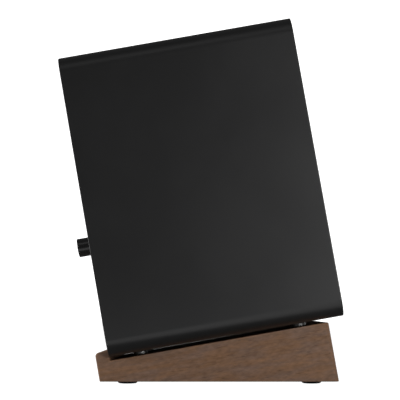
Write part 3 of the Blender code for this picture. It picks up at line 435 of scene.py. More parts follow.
class Sketch:
    """Adds and wires nodes in one node tree."""

    def __init__(self, tree: bpy.types.NodeTree) -> None:
        """Works on a tree."""
        self.tree = tree

    def node(self, kind: str, **settings: object) -> bpy.types.Node:
        """A new node with attributes set, and sockets fed by name from numbers, colours or other sockets."""
        made = self.tree.nodes.new(kind)
        for key, value in settings.items():
            if hasattr(made, key):
                setattr(made, key, value)
            else:
                self.feed(made.inputs[key.replace("_", " ")], value)
        return made

    def feed(self, socket: bpy.types.NodeSocket, value: object) -> None:
        """Links a socket to another, or sets its value."""
        if isinstance(value, bpy.types.NodeSocket):
            self.tree.links.new(value, socket)
        else:
            socket.default_value = value

    def fill(self, node: bpy.types.Node, values: dict) -> None:
        """Feeds several of a node's inputs by name."""
        for name, value in values.items():
            self.feed(node.inputs[name], value)

    def math(self, operation: str, a: object, b: object = 0.0) -> bpy.types.NodeSocket:
        """A Math node's value."""
        made = self.node("ShaderNodeMath", operation=operation)
        self.feed(made.inputs[0], a)
        self.feed(made.inputs[1], b)
        return made.outputs[0]

    def plus(self, a: object, b: object) -> bpy.types.NodeSocket:
        """a + b."""
        return self.math("ADD", a, b)

    def minus(self, a: object, b: object) -> bpy.types.NodeSocket:
        """a - b."""
        return self.math("SUBTRACT", a, b)

    def times(self, a: object, b: object) -> bpy.types.NodeSocket:
        """a * b."""
        return self.math("MULTIPLY", a, b)

    def bump(self, distance: float, height: object) -> bpy.types.NodeSocket:
        """A normal bent by a height."""
        return self.node("ShaderNodeBump", Distance=distance, Height=height).outputs[0]

    def place(self) -> bpy.types.NodeSocket:
        """The Object coordinates."""
        return self.node("ShaderNodeTexCoord").outputs["Object"]

    def blend(self, share: object, first: object, second: object, mode: str = "MIX") -> bpy.types.NodeSocket:
        """A colour mix."""
        made = self.tree.nodes.new("ShaderNodeMix")
        made.data_type = "RGBA"
        made.blend_type = mode
        self.feed(made.inputs[0], share)
        self.feed(made.inputs[6], first)
        self.feed(made.inputs[7], second)
        return made.outputs[2]

    def remap(
        self, value: object, low: float, high: float, to_low: float = 0.0, to_high: float = 1.0
    ) -> bpy.types.NodeSocket:
        """A clamped, smooth Map Range."""
        made = self.node("ShaderNodeMapRange", interpolation_type="SMOOTHSTEP")
        for socket, entry in zip(made.inputs, (value, low, high, to_low, to_high)):
            self.feed(socket, entry)
        return made.outputs[0]

    def noise(
        self, vector: object, scale: object, detail: float = 2.0, roughness: float = 0.5
    ) -> bpy.types.NodeSocket:
        """A Noise texture's value."""
        made = self.node("ShaderNodeTexNoise", Vector=vector, Scale=scale, Detail=detail, Roughness=roughness)
        return made.outputs[0]

    def ramp(self, value: object, stops: Sequence[tuple[float, tuple]]) -> bpy.types.NodeSocket:
        """A colour ramp through stops of (position, colour)."""
        made = self.node("ShaderNodeValToRGB")
        elements = made.color_ramp.elements
        while len(elements) < len(stops):
            elements.new(0.5)
        for element, (position, colour) in zip(elements, stops):
            element.position = position
            element.color = (*colour, 1.0)
        self.feed(made.inputs[0], value)
        return made.outputs[0]


def shader_group(name: str, inputs: Sequence[tuple[str, str, object]], outputs: Sequence[tuple[str, str]]):
    """A new shader node group with named sockets.

    Args:
        name: the group's name.
        inputs: (name, socket type, default) of each input.
        outputs: (name, socket type) of each output.

    Returns:
        The group, a Sketch on it, its input node and its output node.
    """
    group = bpy.data.node_groups.new(name, "ShaderNodeTree")
    for socket, kind, default in inputs:
        group.interface.new_socket(socket, in_out="INPUT", socket_type=kind).default_value = default
    for socket, kind in outputs:
        group.interface.new_socket(socket, in_out="OUTPUT", socket_type=kind)
    return group, Sketch(group), group.nodes.new("NodeGroupInput"), group.nodes.new("NodeGroupOutput")


FLOAT, COLOUR = "NodeSocketFloat", "NodeSocketColor"


class Effects:
    """The shader groups that several finishes share, each built once."""

    @staticmethod
    def surface_grain() -> bpy.types.NodeTree:
        """Fine blasted or moulded texture, with a slow patchiness over it, from Object coordinates."""
        found = bpy.data.node_groups.get("surface_grain")
        if found:
            return found
        group, sketch, given, out = shader_group(
            "surface_grain",
            [("Scale", FLOAT, 2500.0), ("Patch Scale", FLOAT, 18.0)],
            [("Height", FLOAT), ("Patch", FLOAT)],
        )
        place = sketch.place()
        fine = sketch.noise(place, given.outputs["Scale"], 3.0, 0.65)
        coarse = sketch.noise(place, sketch.times(given.outputs["Scale"], 0.22), 2.0)
        height = sketch.plus(sketch.times(fine, 0.7), sketch.times(coarse, 0.3))
        patch = sketch.remap(sketch.noise(place, given.outputs["Patch Scale"], 4.0, 0.6), 0.3, 0.7)
        sketch.fill(out, {"Height": height, "Patch": patch})
        return group

    @staticmethod
    def drawn_lines() -> bpy.types.NodeTree:
        """Streaks that run along y of a stretched space, as extrusion, brushing or wood fibre leaves them."""
        found = bpy.data.node_groups.get("drawn_lines")
        if found:
            return found
        group, sketch, given, out = shader_group(
            "drawn_lines",
            [("Density", FLOAT, 900.0), ("Stretch", FLOAT, 0.02), ("Lean", FLOAT, 0.0)],
            [("Streak", FLOAT)],
        )
        place = sketch.place()
        lean = sketch.node("ShaderNodeCombineXYZ", X=given.outputs["Lean"]).outputs[0]
        stretch = sketch.node("ShaderNodeCombineXYZ", X=1.0, Y=given.outputs["Stretch"], Z=1.0).outputs[0]
        turned_space = sketch.node("ShaderNodeMapping", Vector=place, Rotation=lean).outputs[0]
        space = sketch.node("ShaderNodeVectorMath", operation="MULTIPLY")
        sketch.feed(space.inputs[0], turned_space)
        sketch.feed(space.inputs[1], stretch)
        streak = sketch.noise(space.outputs[0], given.outputs["Density"], 3.0, 0.6)
        sketch.fill(out, {"Streak": streak})
        return group


def shades(colour: Sequence[float], share: float) -> tuple[tuple, tuple]:
    """A colour made darker and lighter by a share of itself, each with full alpha."""
    dark = tuple(channel * (1 - share) for channel in colour)
    light = tuple(min(channel * (1 + share), 1.0) for channel in colour)
    return (*dark, 1.0), (*light, 1.0)


@dataclass(frozen=True)
class Finish:
    """A finish: one material, made the first time it is asked for."""

    name: str

    def material(self) -> bpy.types.Material:
        """The material, built once."""
        found = bpy.data.materials.get("finish_" + self.name)
        if found:
            return found
        made = bpy.data.materials.new("finish_" + self.name)
        made.use_nodes = True
        self.paint(Sketch(made.node_tree), made.node_tree.nodes["Principled BSDF"])
        return made

    def paint(self, sketch: Sketch, shader: bpy.types.Node) -> None:
        """Wires the finish's own nodes into its Principled BSDF."""
        raise NotImplementedError


@dataclass(frozen=True)
class Grained(Finish):
    """A blasted or moulded finish: colour and roughness drift in patches over a fine raised grain."""

    colour: tuple[float, float, float] = (0.02, 0.02, 0.02)
    drift: float = 0.12
    roughness: float = 0.5
    roughness_drift: float = 0.06
    metallic: float = 0.0
    grain: float = 2500.0
    grain_height: float = 0.004 * MM
    patch_scale: float = 18.0
    specular: float = 0.5

    def paint(self, sketch: Sketch, shader: bpy.types.Node) -> None:
        """Colour, roughness and bump from the shared surface grain."""
        group = Effects.surface_grain()
        grain = sketch.node("ShaderNodeGroup", node_tree=group, Scale=self.grain, Patch_Scale=self.patch_scale)
        patch = grain.outputs["Patch"]
        low, high = self.roughness - self.roughness_drift, self.roughness + self.roughness_drift
        sketch.fill(shader, {
            "Base Color": sketch.blend(patch, *shades(self.colour, self.drift)),
            "Roughness": sketch.remap(patch, 0.0, 1.0, low, high),
            "Normal": sketch.bump(self.grain_height, grain.outputs["Height"]),
            "Metallic": self.metallic,
            "Specular IOR Level": self.specular,
        })


@dataclass(frozen=True)
class Drawn(Finish):
    """A metal with lines along the case's depth, as extrusion or brushing leaves them, over a fine grain."""

    colour: tuple[float, float, float] = (0.5, 0.5, 0.5)
    roughness: float = 0.35
    streak: float = 0.12
    metallic: float = 1.0
    density: float = 900.0
    stretch: float = 0.02
    lean: float = 0.0
    line_height: float = 0.003 * MM
    grain: float = 3000.0
    specular: float = 0.5
    roughness_drift: float = 0.06
    grain_share: float = 0.6

    def paint(self, sketch: Sketch, shader: bpy.types.Node) -> None:
        """Colour and roughness follow the streaks, and both streaks and grain lift the surface."""
        run = {"Density": self.density, "Stretch": self.stretch, "Lean": self.lean}
        lines = sketch.node("ShaderNodeGroup", node_tree=Effects.drawn_lines(), **run)
        grain = sketch.node("ShaderNodeGroup", node_tree=Effects.surface_grain(), Scale=self.grain)
        streak, patch = lines.outputs["Streak"], grain.outputs["Patch"]
        mixed = sketch.plus(sketch.times(streak, 0.5), sketch.times(patch, 0.5))
        low, high = self.roughness - self.roughness_drift, self.roughness + self.roughness_drift
        rise = sketch.plus(streak, sketch.times(grain.outputs["Height"], self.grain_share))
        sketch.fill(shader, {
            "Base Color": sketch.blend(mixed, *shades(self.colour, self.streak)),
            "Roughness": sketch.remap(mixed, 0.2, 0.8, low, high),
            "Normal": sketch.bump(self.line_height, rise),
            "Metallic": self.metallic,
            "Specular IOR Level": self.specular,
        })


@dataclass(frozen=True)
class Walnut(Finish):
    """Oiled walnut sawn with its grain along the seat: short flecks, long fibres, pores and faint growth rings."""

    colour: tuple[float, float, float] = (0.224, 0.125, 0.074)
    warm: tuple[float, float, float] = (1.10, 0.98, 0.74)
    grey: tuple[float, float, float] = (0.90, 1.0, 1.22)
    contrast: float = 0.76
    hue_share: float = 0.75
    lean: float = math.radians(10)
    pith: tuple[float, float] = (0.03, -0.13)  # x and z of the tree's centre
    ring_pitch: float = 7.5 * MM
    ring_depth: float = 0.16
    wander: float = 9.0 * MM
    pore_depth: float = 0.03 * MM
    fibre_density: float = 620.0
    roughness: tuple[float, float] = (0.66, 0.54)  # where dark and where light
    specular: float = 0.35

    def paint(self, sketch: Sketch, shader: bpy.types.Node) -> None:
        """Tone is a sum of stretched noises about 1, less the rings and pores, and it scales a colour that drifts.

        The ring phase is (distance from the pith + wandering noise) / pitch, and its tooth is dark at the late wood.
        """
        place = sketch.place()
        along = sketch.node("ShaderNodeMapping", Vector=place, Rotation=(self.lean, 0.0, 0.0)).outputs[0]

        def streak(stretch: float, scale: float, detail: float, roughness: float = 0.5) -> bpy.types.NodeSocket:
            """Noise drawn out along the grain."""
            space = sketch.node("ShaderNodeMapping", Vector=along, Scale=(1.0, stretch, 1.0)).outputs[0]
            return sketch.minus(sketch.noise(space, scale, detail, roughness), 0.5)

        split = sketch.node("ShaderNodeSeparateXYZ", Vector=along)
        side = sketch.minus(split.outputs[0], self.pith[0])
        rise = sketch.minus(split.outputs[2], self.pith[1])
        squares = sketch.plus(sketch.times(side, side), sketch.times(rise, rise))
        wander = sketch.times(streak(0.25, 22.0, 3.0), self.wander)
        reach = sketch.plus(sketch.math("SQRT", squares), wander)
        phase = sketch.math("FRACT", sketch.math("DIVIDE", reach, self.ring_pitch))
        ring = sketch.remap(sketch.math("ABSOLUTE", sketch.minus(phase, 0.7)), 0.0, 0.3, 1.0, 0.0)
        run = {"Density": self.fibre_density, "Stretch": 0.03, "Lean": self.lean}
        lines = sketch.node("ShaderNodeGroup", node_tree=Effects.drawn_lines(), **run)
        fleck = streak(0.36, 820.0, 2.0, 0.55)
        tone = sketch.plus(fleck, sketch.times(streak(0.1, 70.0, 3.0), 0.5))
        fibre = sketch.minus(lines.outputs["Streak"], 0.5)
        tone = sketch.plus(tone, sketch.times(fibre, 0.6))
        tone = sketch.plus(sketch.times(tone, self.contrast), 1.0)
        tone = sketch.minus(tone, sketch.times(ring, self.ring_depth * 0.5))
        pores = sketch.remap(streak(0.07, 2300.0, 1.0, 0.4), 0.15, 0.24)
        tone = sketch.minus(tone, sketch.times(pores, 0.3))
        hue = sketch.remap(streak(0.18, 300.0, 3.0, 0.6), -0.25, 0.25)
        tint = sketch.blend(hue, (*self.grey, 1.0), (*self.warm, 1.0))
        tint = sketch.blend(self.hue_share, (1.0, 1.0, 1.0, 1.0), tint)
        colour = sketch.blend(1.0, (*self.colour, 1.0), tint, "MULTIPLY")
        grey_tone = sketch.node("ShaderNodeCombineColor", Red=tone, Green=tone, Blue=tone).outputs[0]
        colour = sketch.blend(1.0, colour, grey_tone, "MULTIPLY")
        height = sketch.minus(sketch.times(lines.outputs["Streak"], 0.3), pores)
        sketch.fill(shader, {
            "Base Color": colour,
            "Roughness": sketch.remap(tone, 0.8, 1.2, *self.roughness),
            "Normal": sketch.bump(self.pore_depth, height),
            "Specular IOR Level": self.specular,
        })


@dataclass(frozen=True)
class Cloth(Finish):
    """A plain black weave on Object coordinates, for the cloth behind the loudspeaker's slots, with painted shade in
    its grooves and a painted highlight on its thread crowns.
    """

    thread: float = 0.45 * MM
    thread_rise: float = 0.1 * MM
    colour: tuple[float, float, float] = (0.02, 0.02, 0.021)

    def paint(self, sketch: Sketch, shader: bpy.types.Node) -> None:
        """Two sets of rounded threads, sin x and sin z, whose product says which one is on top. The same product
        lifts the weave and also sets its colour: painted shade darkens the grooves between threads and a painted
        highlight lightens their crowns.
        """
        place = sketch.place()
        split = sketch.node("ShaderNodeSeparateXYZ", Vector=place)
        turns = math.pi / self.thread
        warp = sketch.math("SINE", sketch.times(split.outputs[0], turns))
        weft = sketch.math("SINE", sketch.times(split.outputs[2], turns))
        over = sketch.math("ABSOLUTE", sketch.times(warp, weft))
        # painted shade at 0.4 of the colour in the grooves and a painted highlight at 1.9 of it on the crowns, both
        # following the weave's height
        dark, light = tuple(c * 0.4 for c in self.colour), tuple(c * 1.9 for c in self.colour)
        sketch.fill(shader, {
            "Base Color": sketch.blend(over, (*dark, 1.0), (*light, 1.0)),
            "Normal": sketch.bump(self.thread_rise, over),
            "Roughness": 0.9,
            "Sheen Weight": 0.3,
        })


@dataclass(frozen=True)
class Glass(Finish):
    """Clear cover glass with the faintest haze of handling."""

    def paint(self, sketch: Sketch, shader: bpy.types.Node) -> None:
        """Transmission with a roughness that drifts in patches."""
        grain = sketch.node("ShaderNodeGroup", node_tree=Effects.surface_grain(), Patch_Scale=30.0)
        sketch.fill(shader, {
            "Roughness": sketch.remap(grain.outputs["Patch"], 0.0, 1.0, 0.015, 0.05),
            "Base Color": (0.97, 0.985, 0.98, 1.0),
            "Transmission Weight": 1.0,
            "IOR": 1.46,
        })


@dataclass(frozen=True)
class Picture(Finish):
    """The lit screen: an evening sky, a low sun and four ridges of hills, painted on the panel's own UV map."""

    glow: float = 0.85
    sky: tuple = (
        (0.0, (0.80, 0.36, 0.14)), (0.38, (0.74, 0.40, 0.22)),
        (0.58, (0.38, 0.33, 0.38)), (1.0, (0.06, 0.13, 0.27)),
    )
    ridges: tuple = (  # mean height, half the relief, noise scale, colour
        (0.46, 0.10, 2.2, (0.30, 0.22, 0.25)), (0.37, 0.11, 3.0, (0.14, 0.13, 0.17)),
        (0.26, 0.12, 2.4, (0.05, 0.065, 0.085)), (0.13, 0.10, 3.6, (0.012, 0.022, 0.026)),
    )
    sun: tuple[float, float, float] = (0.66, 0.56, 0.055)  # u, v, radius as a share of the width

    def paint(self, sketch: Sketch, shader: bpy.types.Node) -> None:
        """Each ridge is v < h + 2 a (noise(u) - 1/2). The sun is a soft disc on the sky, behind the ridges."""
        uv = sketch.node("ShaderNodeUVMap", uv_map="screen").outputs[0]
        split = sketch.node("ShaderNodeSeparateXYZ", Vector=uv)
        u, v = split.outputs[0], split.outputs[1]
        colour = sketch.ramp(v, self.sky)
        drawn_out = sketch.node("ShaderNodeMapping", Vector=uv, Scale=(1.2, 7.0, 1.0)).outputs[0]
        haze = sketch.noise(drawn_out, 2.2, 4.0, 0.55)
        cloud = sketch.times(sketch.remap(haze, 0.5, 0.72), 0.35)
        colour = sketch.blend(cloud, colour, (0.85, 0.52, 0.36, 1.0))
        across = sketch.minus(u, self.sun[0])
        along = sketch.times(sketch.minus(v, self.sun[1]), 4 / 3)
        squares = sketch.plus(sketch.times(across, across), sketch.times(along, along))
        distance = sketch.math("SQRT", squares)
        halo = sketch.remap(distance, self.sun[2], self.sun[2] * 7, 0.55, 0.0)
        colour = sketch.blend(halo, colour, (1.0, 0.62, 0.28, 1.0))
        disc = sketch.remap(distance, self.sun[2] * 0.92, self.sun[2] * 1.08, 1.0, 0.0)
        colour = sketch.blend(disc, colour, (1.0, 0.86, 0.6, 1.0))
        for number, (height, relief, scale, shade) in enumerate(self.ridges):
            line = sketch.node("ShaderNodeCombineXYZ", X=u, Y=float(number) * 3.7).outputs[0]
            wave = sketch.minus(sketch.noise(line, scale, 5.0, 0.48), 0.5)
            top = sketch.plus(sketch.times(wave, relief * 2), height)
            below = sketch.minus(top, v)
            mask = sketch.remap(below, -0.0015, 0.0015)
            mist = sketch.remap(below, 0.0, 0.14, 0.0, 0.45)
            mistier = tuple(0.55 * channel + 0.45 * warm for channel, warm in zip(shade, (0.5, 0.34, 0.26)))
            body = sketch.blend(mist, (*shade, 1.0), (*mistier, 1.0))
            colour = sketch.blend(mask, colour, body)
        edge_u = sketch.math("ABSOLUTE", sketch.minus(u, 0.5))
        edge_v = sketch.math("ABSOLUTE", sketch.minus(v, 0.5))
        inside = sketch.math("LESS_THAN", sketch.math("MAXIMUM", edge_u, edge_v), 0.5)
        sketch.fill(shader, {
            "Emission Color": sketch.blend(inside, (0.0, 0.0, 0.0, 1.0), colour),
            "Emission Strength": self.glow,
            "Base Color": (0.008, 0.009, 0.011, 1.0),
            "Roughness": 0.3,
        })


LEAN = math.radians(10)


class Palette:
    """The object's finishes, by what they are on."""

    CASE = Grained(
        "anodised_case", (0.0068, 0.0068, 0.007), 0.05, 0.36, 0.015, 0.0, 2600.0, 0.002 * MM, 14.0, 0.55
    )
    PANEL = Grained("anodised_panel", (0.009, 0.009, 0.0092), 0.06, 0.4, 0.02, 0.0, 2600.0, 0.003 * MM, 20.0, 0.55)
    KNOB = Drawn("turned_knob", (0.005, 0.005, 0.0051), 0.2, 0.1, 0.0, 1600.0, 0.02, LEAN, 0.001 * MM, 3000.0, 0.7)
    BLACK_PLASTIC = Grained(
        "black_plastic", (0.018, 0.018, 0.019), 0.1, 0.42, 0.05, grain=1500.0, grain_height=0.012 * MM
    )
    WHITE_PLASTIC = Grained("white_plastic", (0.78, 0.78, 0.76), 0.03, 0.4, 0.05)
    ACRYLIC = Grained("acrylic", (0.82, 0.85, 0.86), 0.02, 0.12, 0.03, grain_height=0.001 * MM)
    LCD = Grained("lcd_glass", (0.012, 0.013, 0.015), 0.05, 0.25, 0.03)
    SHEET = Drawn("steel_sheet", (0.52, 0.53, 0.54), 0.36, 0.08, 1.0, 1400.0, 0.03, LEAN)
    PLATED = Grained("plated_steel", (0.72, 0.71, 0.68), 0.05, 0.2, 0.05, 1.0, 1800.0, 0.002 * MM)
    WASHER = Grained("dulled_steel", (0.2, 0.2, 0.195), 0.08, 0.42, 0.06, 1.0, 1800.0, 0.002 * MM)
    BLACK_STEEL = Grained("black_steel", (0.03, 0.03, 0.031), 0.2, 0.38, 0.06, 0.6, 1800.0, 0.004 * MM)
    BARE_ALUMINIUM = Drawn("bare_aluminium", (0.72, 0.73, 0.74), 0.34, 0.06, 1.0, 1800.0, 0.03, LEAN)
    BOARD = Grained("circuit_board", (0.012, 0.07, 0.035), 0.25, 0.35, 0.05, grain=600.0, patch_scale=120.0)
    RIBBON = Grained("ribbon_film", (0.5, 0.3, 0.1), 0.1, 0.3, 0.05, grain_height=0.001 * MM)
    FOAM = Grained("foam", (0.035, 0.035, 0.035), 0.3, 0.95, 0.03, grain=900.0, grain_height=0.08 * MM)
    PAPER = Grained("cone_paper", (0.022, 0.022, 0.022), 0.25, 0.85, 0.05, grain=700.0, grain_height=0.03 * MM)
    RUBBER = Grained("rubber", (0.012, 0.012, 0.012), 0.15, 0.75, 0.08, grain=1400.0, grain_height=0.01 * MM)
    PRINT = Grained("printed_mark", (0.42, 0.42, 0.42), 0.06, 0.6, 0.05)
    GLASS = Glass("cover_glass")
    PICTURE = Picture("screen_picture")
    CLOTH = Cloth("speaker_cloth")
    WALNUT = Walnut("walnut")


CARRIED = {
    "case_aluminium": Palette.CASE, "panel_aluminium": Palette.PANEL, "knob_aluminium": Palette.KNOB,
    "black_plastic": Palette.BLACK_PLASTIC, "white_plastic": Palette.WHITE_PLASTIC, "acrylic": Palette.ACRYLIC,
    "cover_glass": Palette.GLASS, "lcd_glass": Palette.LCD, "steel_sheet": Palette.SHEET,
    "plated_steel": Palette.PLATED, "black_steel": Palette.BLACK_STEEL, "bare_aluminium": Palette.BARE_ALUMINIUM,
    "circuit_board": Palette.BOARD, "ribbon_film": Palette.RIBBON, "foam": Palette.FOAM,
    "cone_paper": Palette.PAPER, "walnut": Palette.WALNUT, "rubber": Palette.RUBBER,
}


# --------------------------------------------------------------------------------------------------
# Sub-assemblies


@dataclass
class Case:
    """The aluminium tube."""

    axes: CaseAxes
    edge_radius: float = 10.0 * MM
    rim_ease: float = 0.5 * MM
    inner_ease: float = 0.25 * MM

    def build(self) -> None:
        """The tube: its wall's section, a thin rounded bar, carried round the rounded rectangle."""
        box, panel = self.axes.box("case_shell"), self.axes.box("rear_panel")
        wall = (box.size[0] - panel.size[0]) / 2 - CLEARANCE
        loop = RoundedLoop(box.size[0], box.size[2], self.edge_radius, (0.0, box.middle[2]), steps=18)
        front, rear = box.low[1], box.high[1]
        section = filleted([
            Corner(0.0, rear, self.rim_ease),
            Corner(0.0, front, self.rim_ease),
            Corner(wall, front, self.inner_ease),
            Corner(wall, rear, self.inner_ease),
        ])
        piece = Piece("case_tube", Palette.CASE, stands_for=("case_shell",), slot="case_aluminium")
        piece.surface(self.axes.world(loop.carried(section)), wrap=True)


@dataclass
class Screen:
    """What fills the front of the tube: bezel, cover glass and the lit panel."""

    axes: CaseAxes
    chamfer: float = 1.0 * MM
    face_depth: float = 1.5 * MM
    rim: float = 3.2 * MM
    corner: float = 6.7 * MM
    window_corner: float = 2.0 * MM
    screen_border: float = 0.5 * MM
    window: tuple[float, float] = field(init=False, default=(0.0, 0.0))

    def build(self) -> None:
        """Bezel, glass and panel, front to back."""
        points = self.axes.local(node_points(self.axes.nodes["front_bezel"]))
        middle = self.axes.box("front_bezel").middle[2]
        self.window = (float(np.abs(points[:, 0]).min()), float(np.abs(points[:, 2] - middle).min()))
        self.build_bezel()
        self.build_glass()
        self.build_panel()

    def build_bezel(self) -> None:
        """The bezel's section, with a chamfer that falls to the glass, carried round the opening."""
        box = self.axes.box("front_bezel")
        loop = RoundedLoop(
            box.size[0], box.size[2], self.corner, (0.0, box.middle[2]), smallest=self.window_corner, steps=8
        )
        width, front, back = box.high[0] - self.window[0], box.low[1], box.high[1]
        section = filleted([
            Corner(0.0, back, 0.15 * MM),
            Corner(0.0, front, 0.35 * MM),
            Corner(width - self.chamfer, front, 0.25 * MM),
            Corner(width, front + self.chamfer, 0.12 * MM),
            Corner(width, front + self.face_depth, 0.05 * MM),
            Corner(self.rim, front + self.face_depth, 0.1 * MM),
            Corner(self.rim, back, 0.1 * MM),
        ], steps=4, support=0.08 * MM)
        piece = Piece("bezel_ring", Palette.BLACK_PLASTIC, stands_for=("front_bezel",), slot="black_plastic")
        piece.surface(self.axes.world(loop.carried(section)), wrap=True)

    def plate(self, node: str, ease: float, corner: float) -> np.ndarray:
        """A rounded plate with eased edges that fills a node's box, as a grid of local points."""
        box = self.axes.box(node)
        loop = RoundedLoop(box.size[0], box.size[2], corner, (0.0, box.middle[2]), steps=5)
        profile = filleted([
            Corner(2 * ease, box.low[1]), Corner(0.0, box.low[1], ease), Corner(0.0, box.high[1], ease),
            Corner(2 * ease, box.high[1]),
        ], closed=False, steps=3, support=0.05 * MM)
        return loop.carried(profile)

    def build_glass(self) -> None:
        """The cover glass in the bezel's pocket."""
        piece = Piece("front_glass", Palette.GLASS, stands_for=("cover_glass",), slot="cover_glass")
        piece.surface(self.axes.world(self.plate("cover_glass", 0.2 * MM, 1.5 * MM)))

    def build_panel(self) -> None:
        """The LCD panel, with a UV map that is 0 to 1 over the picture it shows."""
        box = self.axes.box("lcd_panel")
        piece = Piece("lit_panel", Palette.PICTURE, stands_for=("lcd_panel",), slot="lcd_glass")
        panel = piece.surface(self.axes.world(self.plate("lcd_panel", 0.15 * MM, 0.8 * MM)))
        local = self.axes.local(node_points(panel))
        half = np.array(self.window) - self.screen_border
        across = np.stack([local[:, 0], local[:, 2] - box.middle[2]], axis=-1) / half / 2 + 0.5
        corners = np.empty(len(panel.data.loops), np.int32)
        panel.data.loops.foreach_get("vertex_index", corners)
        layer = panel.data.uv_layers.new(name="screen")
        layer.data.foreach_set("uv", across[corners].ravel().astype(np.float32))


@dataclass
class RearPanel:
    """The rear plate with its slots, sockets, screws and button, and the cloth behind the slots."""

    axes: CaseAxes
    corner: float = 6.7 * MM
    ease: float = 0.2 * MM
    slots: int = 9
    slot_pitch: float = 5.0 * MM
    slot_height: float = 2.4 * MM
    slot_circle: float = 24.0 * MM
    port_corner: float = 0.8 * MM
    thickness: float = 3.0 * MM
    cloth_margin: float = 3.0 * MM  # inside the loudspeaker's flange
    cloth_lift: float = 0.22 * MM
    cloth_thickness: float = 0.15 * MM

    def build(self) -> None:
        """Plate, cloth, screws, socket trims and button."""
        self.build_plate()
        self.build_cloth()
        for number in range(1, 5):
            self.build_screw(f"rear_panel_screw_{number}")
        self.build_trims()
        self.build_button()

    def outlines(self) -> list[np.ndarray]:
        """The holes of the plate: knob, button, screws, sockets and the slots of the loudspeaker."""
        holes = []
        screws = [(f"rear_panel_screw_{number}", CLEARANCE * 0.6) for number in range(1, 5)]
        for node, gap in (("knob", CLEARANCE), *screws):
            box = self.axes.box(node)
            holes.append(circle(box.size[0] / 2 + gap, (box.middle[0], box.middle[2])))
        button = self.axes.box("power_button")
        holes.append(circle(self.button_radius() + CLEARANCE, (button.middle[0], button.middle[2])))
        for node in ("card_socket", "usb_socket", "audio_jack", "power_jack"):
            box = self.axes.box(node)
            size = box.size + 2 * CLEARANCE
            loop = RoundedLoop(size[0], size[2], self.port_corner, (box.middle[0], box.middle[2]), steps=5)
            holes.append(loop.at(0.0))
        centre = self.axes.box("speaker_basket").middle
        drops = (np.arange(self.slots) - (self.slots - 1) / 2) * self.slot_pitch
        lengths = 2 * np.sqrt(self.slot_circle**2 - drops**2)
        for length, drop in zip(lengths, drops):
            holes.append(stadium(length, self.slot_height, (centre[0], centre[2] + drop)))
        return holes

    def button_radius(self) -> float:
        """The radius of the button's cap: the widest of its points that stand outside the plate."""
        points = self.axes.local(node_points(self.axes.nodes["power_button"]))
        outside = points[points[:, 1] > self.axes.box("rear_panel").high[1]]
        return float(np.ptp(outside[:, 0]) / 2)

    def build_plate(self) -> None:
        """The plate, cut to its outline and pierced."""
        box = self.axes.box("rear_panel")
        outer = RoundedLoop(box.size[0], box.size[2], self.corner, (0.0, box.middle[2])).at(0.0)
        mesh = flat_plate(outer, self.outlines(), self.thickness, self.ease)
        piece = Piece("rear_plate", Palette.PANEL, stands_for=("rear_panel",), slot="panel_aluminium", crease=12)
        piece.adopt(laid_across(mesh, self.axes, box.high[1] - self.thickness / 2))

    def build_cloth(self) -> None:
        """A thin disc of cloth between the plate and the loudspeaker."""
        speaker = self.axes.box("speaker_basket")
        radius, top = speaker.size[0] / 2 - self.cloth_margin, speaker.high[1] + self.cloth_lift
        centre = self.axes.at(speaker.middle[0], top, speaker.middle[2])
        profile = np.array([(radius, 0.0), (radius, -self.cloth_thickness)])
        grid = turned(profile, centre, self.axes.back, 64)
        Piece("speaker_cloth", Palette.CLOTH, slot="cone_paper").surface(grid)

    def build_screw(self, node: str) -> None:
        """A countersunk screw with a hexagonal socket, flush with the plate."""
        box = self.axes.box(node)
        top = self.axes.at(box.middle[0], box.high[1], box.middle[2])
        head, length, shank = box.size[0] / 2, box.size[1], 1.5 * MM
        profile = filleted([
            Corner(shank * 0.6, -length), Corner(shank, -length + 0.5 * MM, 0.1 * MM),
            Corner(shank, -1.7 * MM, 0.1 * MM), Corner(head, -0.35 * MM, 0.1 * MM), Corner(head - 0.15 * MM, 0.0),
        ], closed=False, steps=3, support=0.03 * MM)
        grid = socketed(profile, 1.0 * MM, 1.1 * MM, top, self.axes.back)
        Piece("trim_" + node, Palette.BLACK_STEEL, stands_for=(node,), slot="black_steel").surface(grid)

    def build_trims(self) -> None:
        """Plated rings in the round jacks' mouths."""
        for node, mouth in (("audio_jack", 1.8 * MM), ("power_jack", 3.2 * MM)):
            box = self.axes.box(node)
            centre = self.axes.at(box.middle[0], box.high[1], box.middle[2])
            wall, depth = 0.35 * MM, 3.0 * MM
            section = filleted([
                Corner(mouth - 0.02 * MM, 0.25 * MM, 0.1 * MM), Corner(mouth - 0.02 * MM, -depth, 0.05 * MM),
                Corner(mouth - wall, -depth, 0.05 * MM), Corner(mouth - wall, 0.25 * MM, 0.1 * MM),
            ], steps=3, support=0.03 * MM)
            grid = turned(section, centre, self.axes.back, 40)
            Piece(f"{node}_ring", Palette.PLATED, slot="plated_steel").surface(grid, wrap=True)

    def build_button(self) -> None:
        """The power button: a shallow dished cap, its flange and stem, and a printed power mark."""
        box = self.axes.box("power_button")
        radius, top, rear = self.button_radius(), box.high[1], self.axes.box("rear_panel").high[1]
        axis_point = np.array([box.middle[0], 0.0, box.middle[2]])
        centre = self.axes.world(axis_point)
        inner = rear - self.thickness - CLEARANCE
        dish = 0.18 * MM
        profile = filleted([
            Corner(0.3 * MM, top - dish), Corner(radius * 0.55, top - dish * 0.85, 2 * MM),
            Corner(radius - 0.6 * MM, top, 0.3 * MM), Corner(radius, top - 0.3 * MM, 0.2 * MM),
            Corner(radius, inner, 0.1 * MM), Corner(box.size[0] / 2, inner, 0.1 * MM),
            Corner(box.size[0] / 2, inner - 1.0 * MM, 0.1 * MM), Corner(1.5 * MM, inner - 1.0 * MM, 0.1 * MM),
            Corner(1.5 * MM, box.low[1]),
        ], closed=False, steps=4, support=0.03 * MM)
        piece = Piece("power_cap", Palette.BLACK_PLASTIC, Body.BUTTON, ("power_button",), "black_plastic")
        piece.surface(turned(profile, centre, self.axes.back, 64))
        self.build_mark(axis_point + np.array([0.0, top - dish * 0.8, 0.0]))

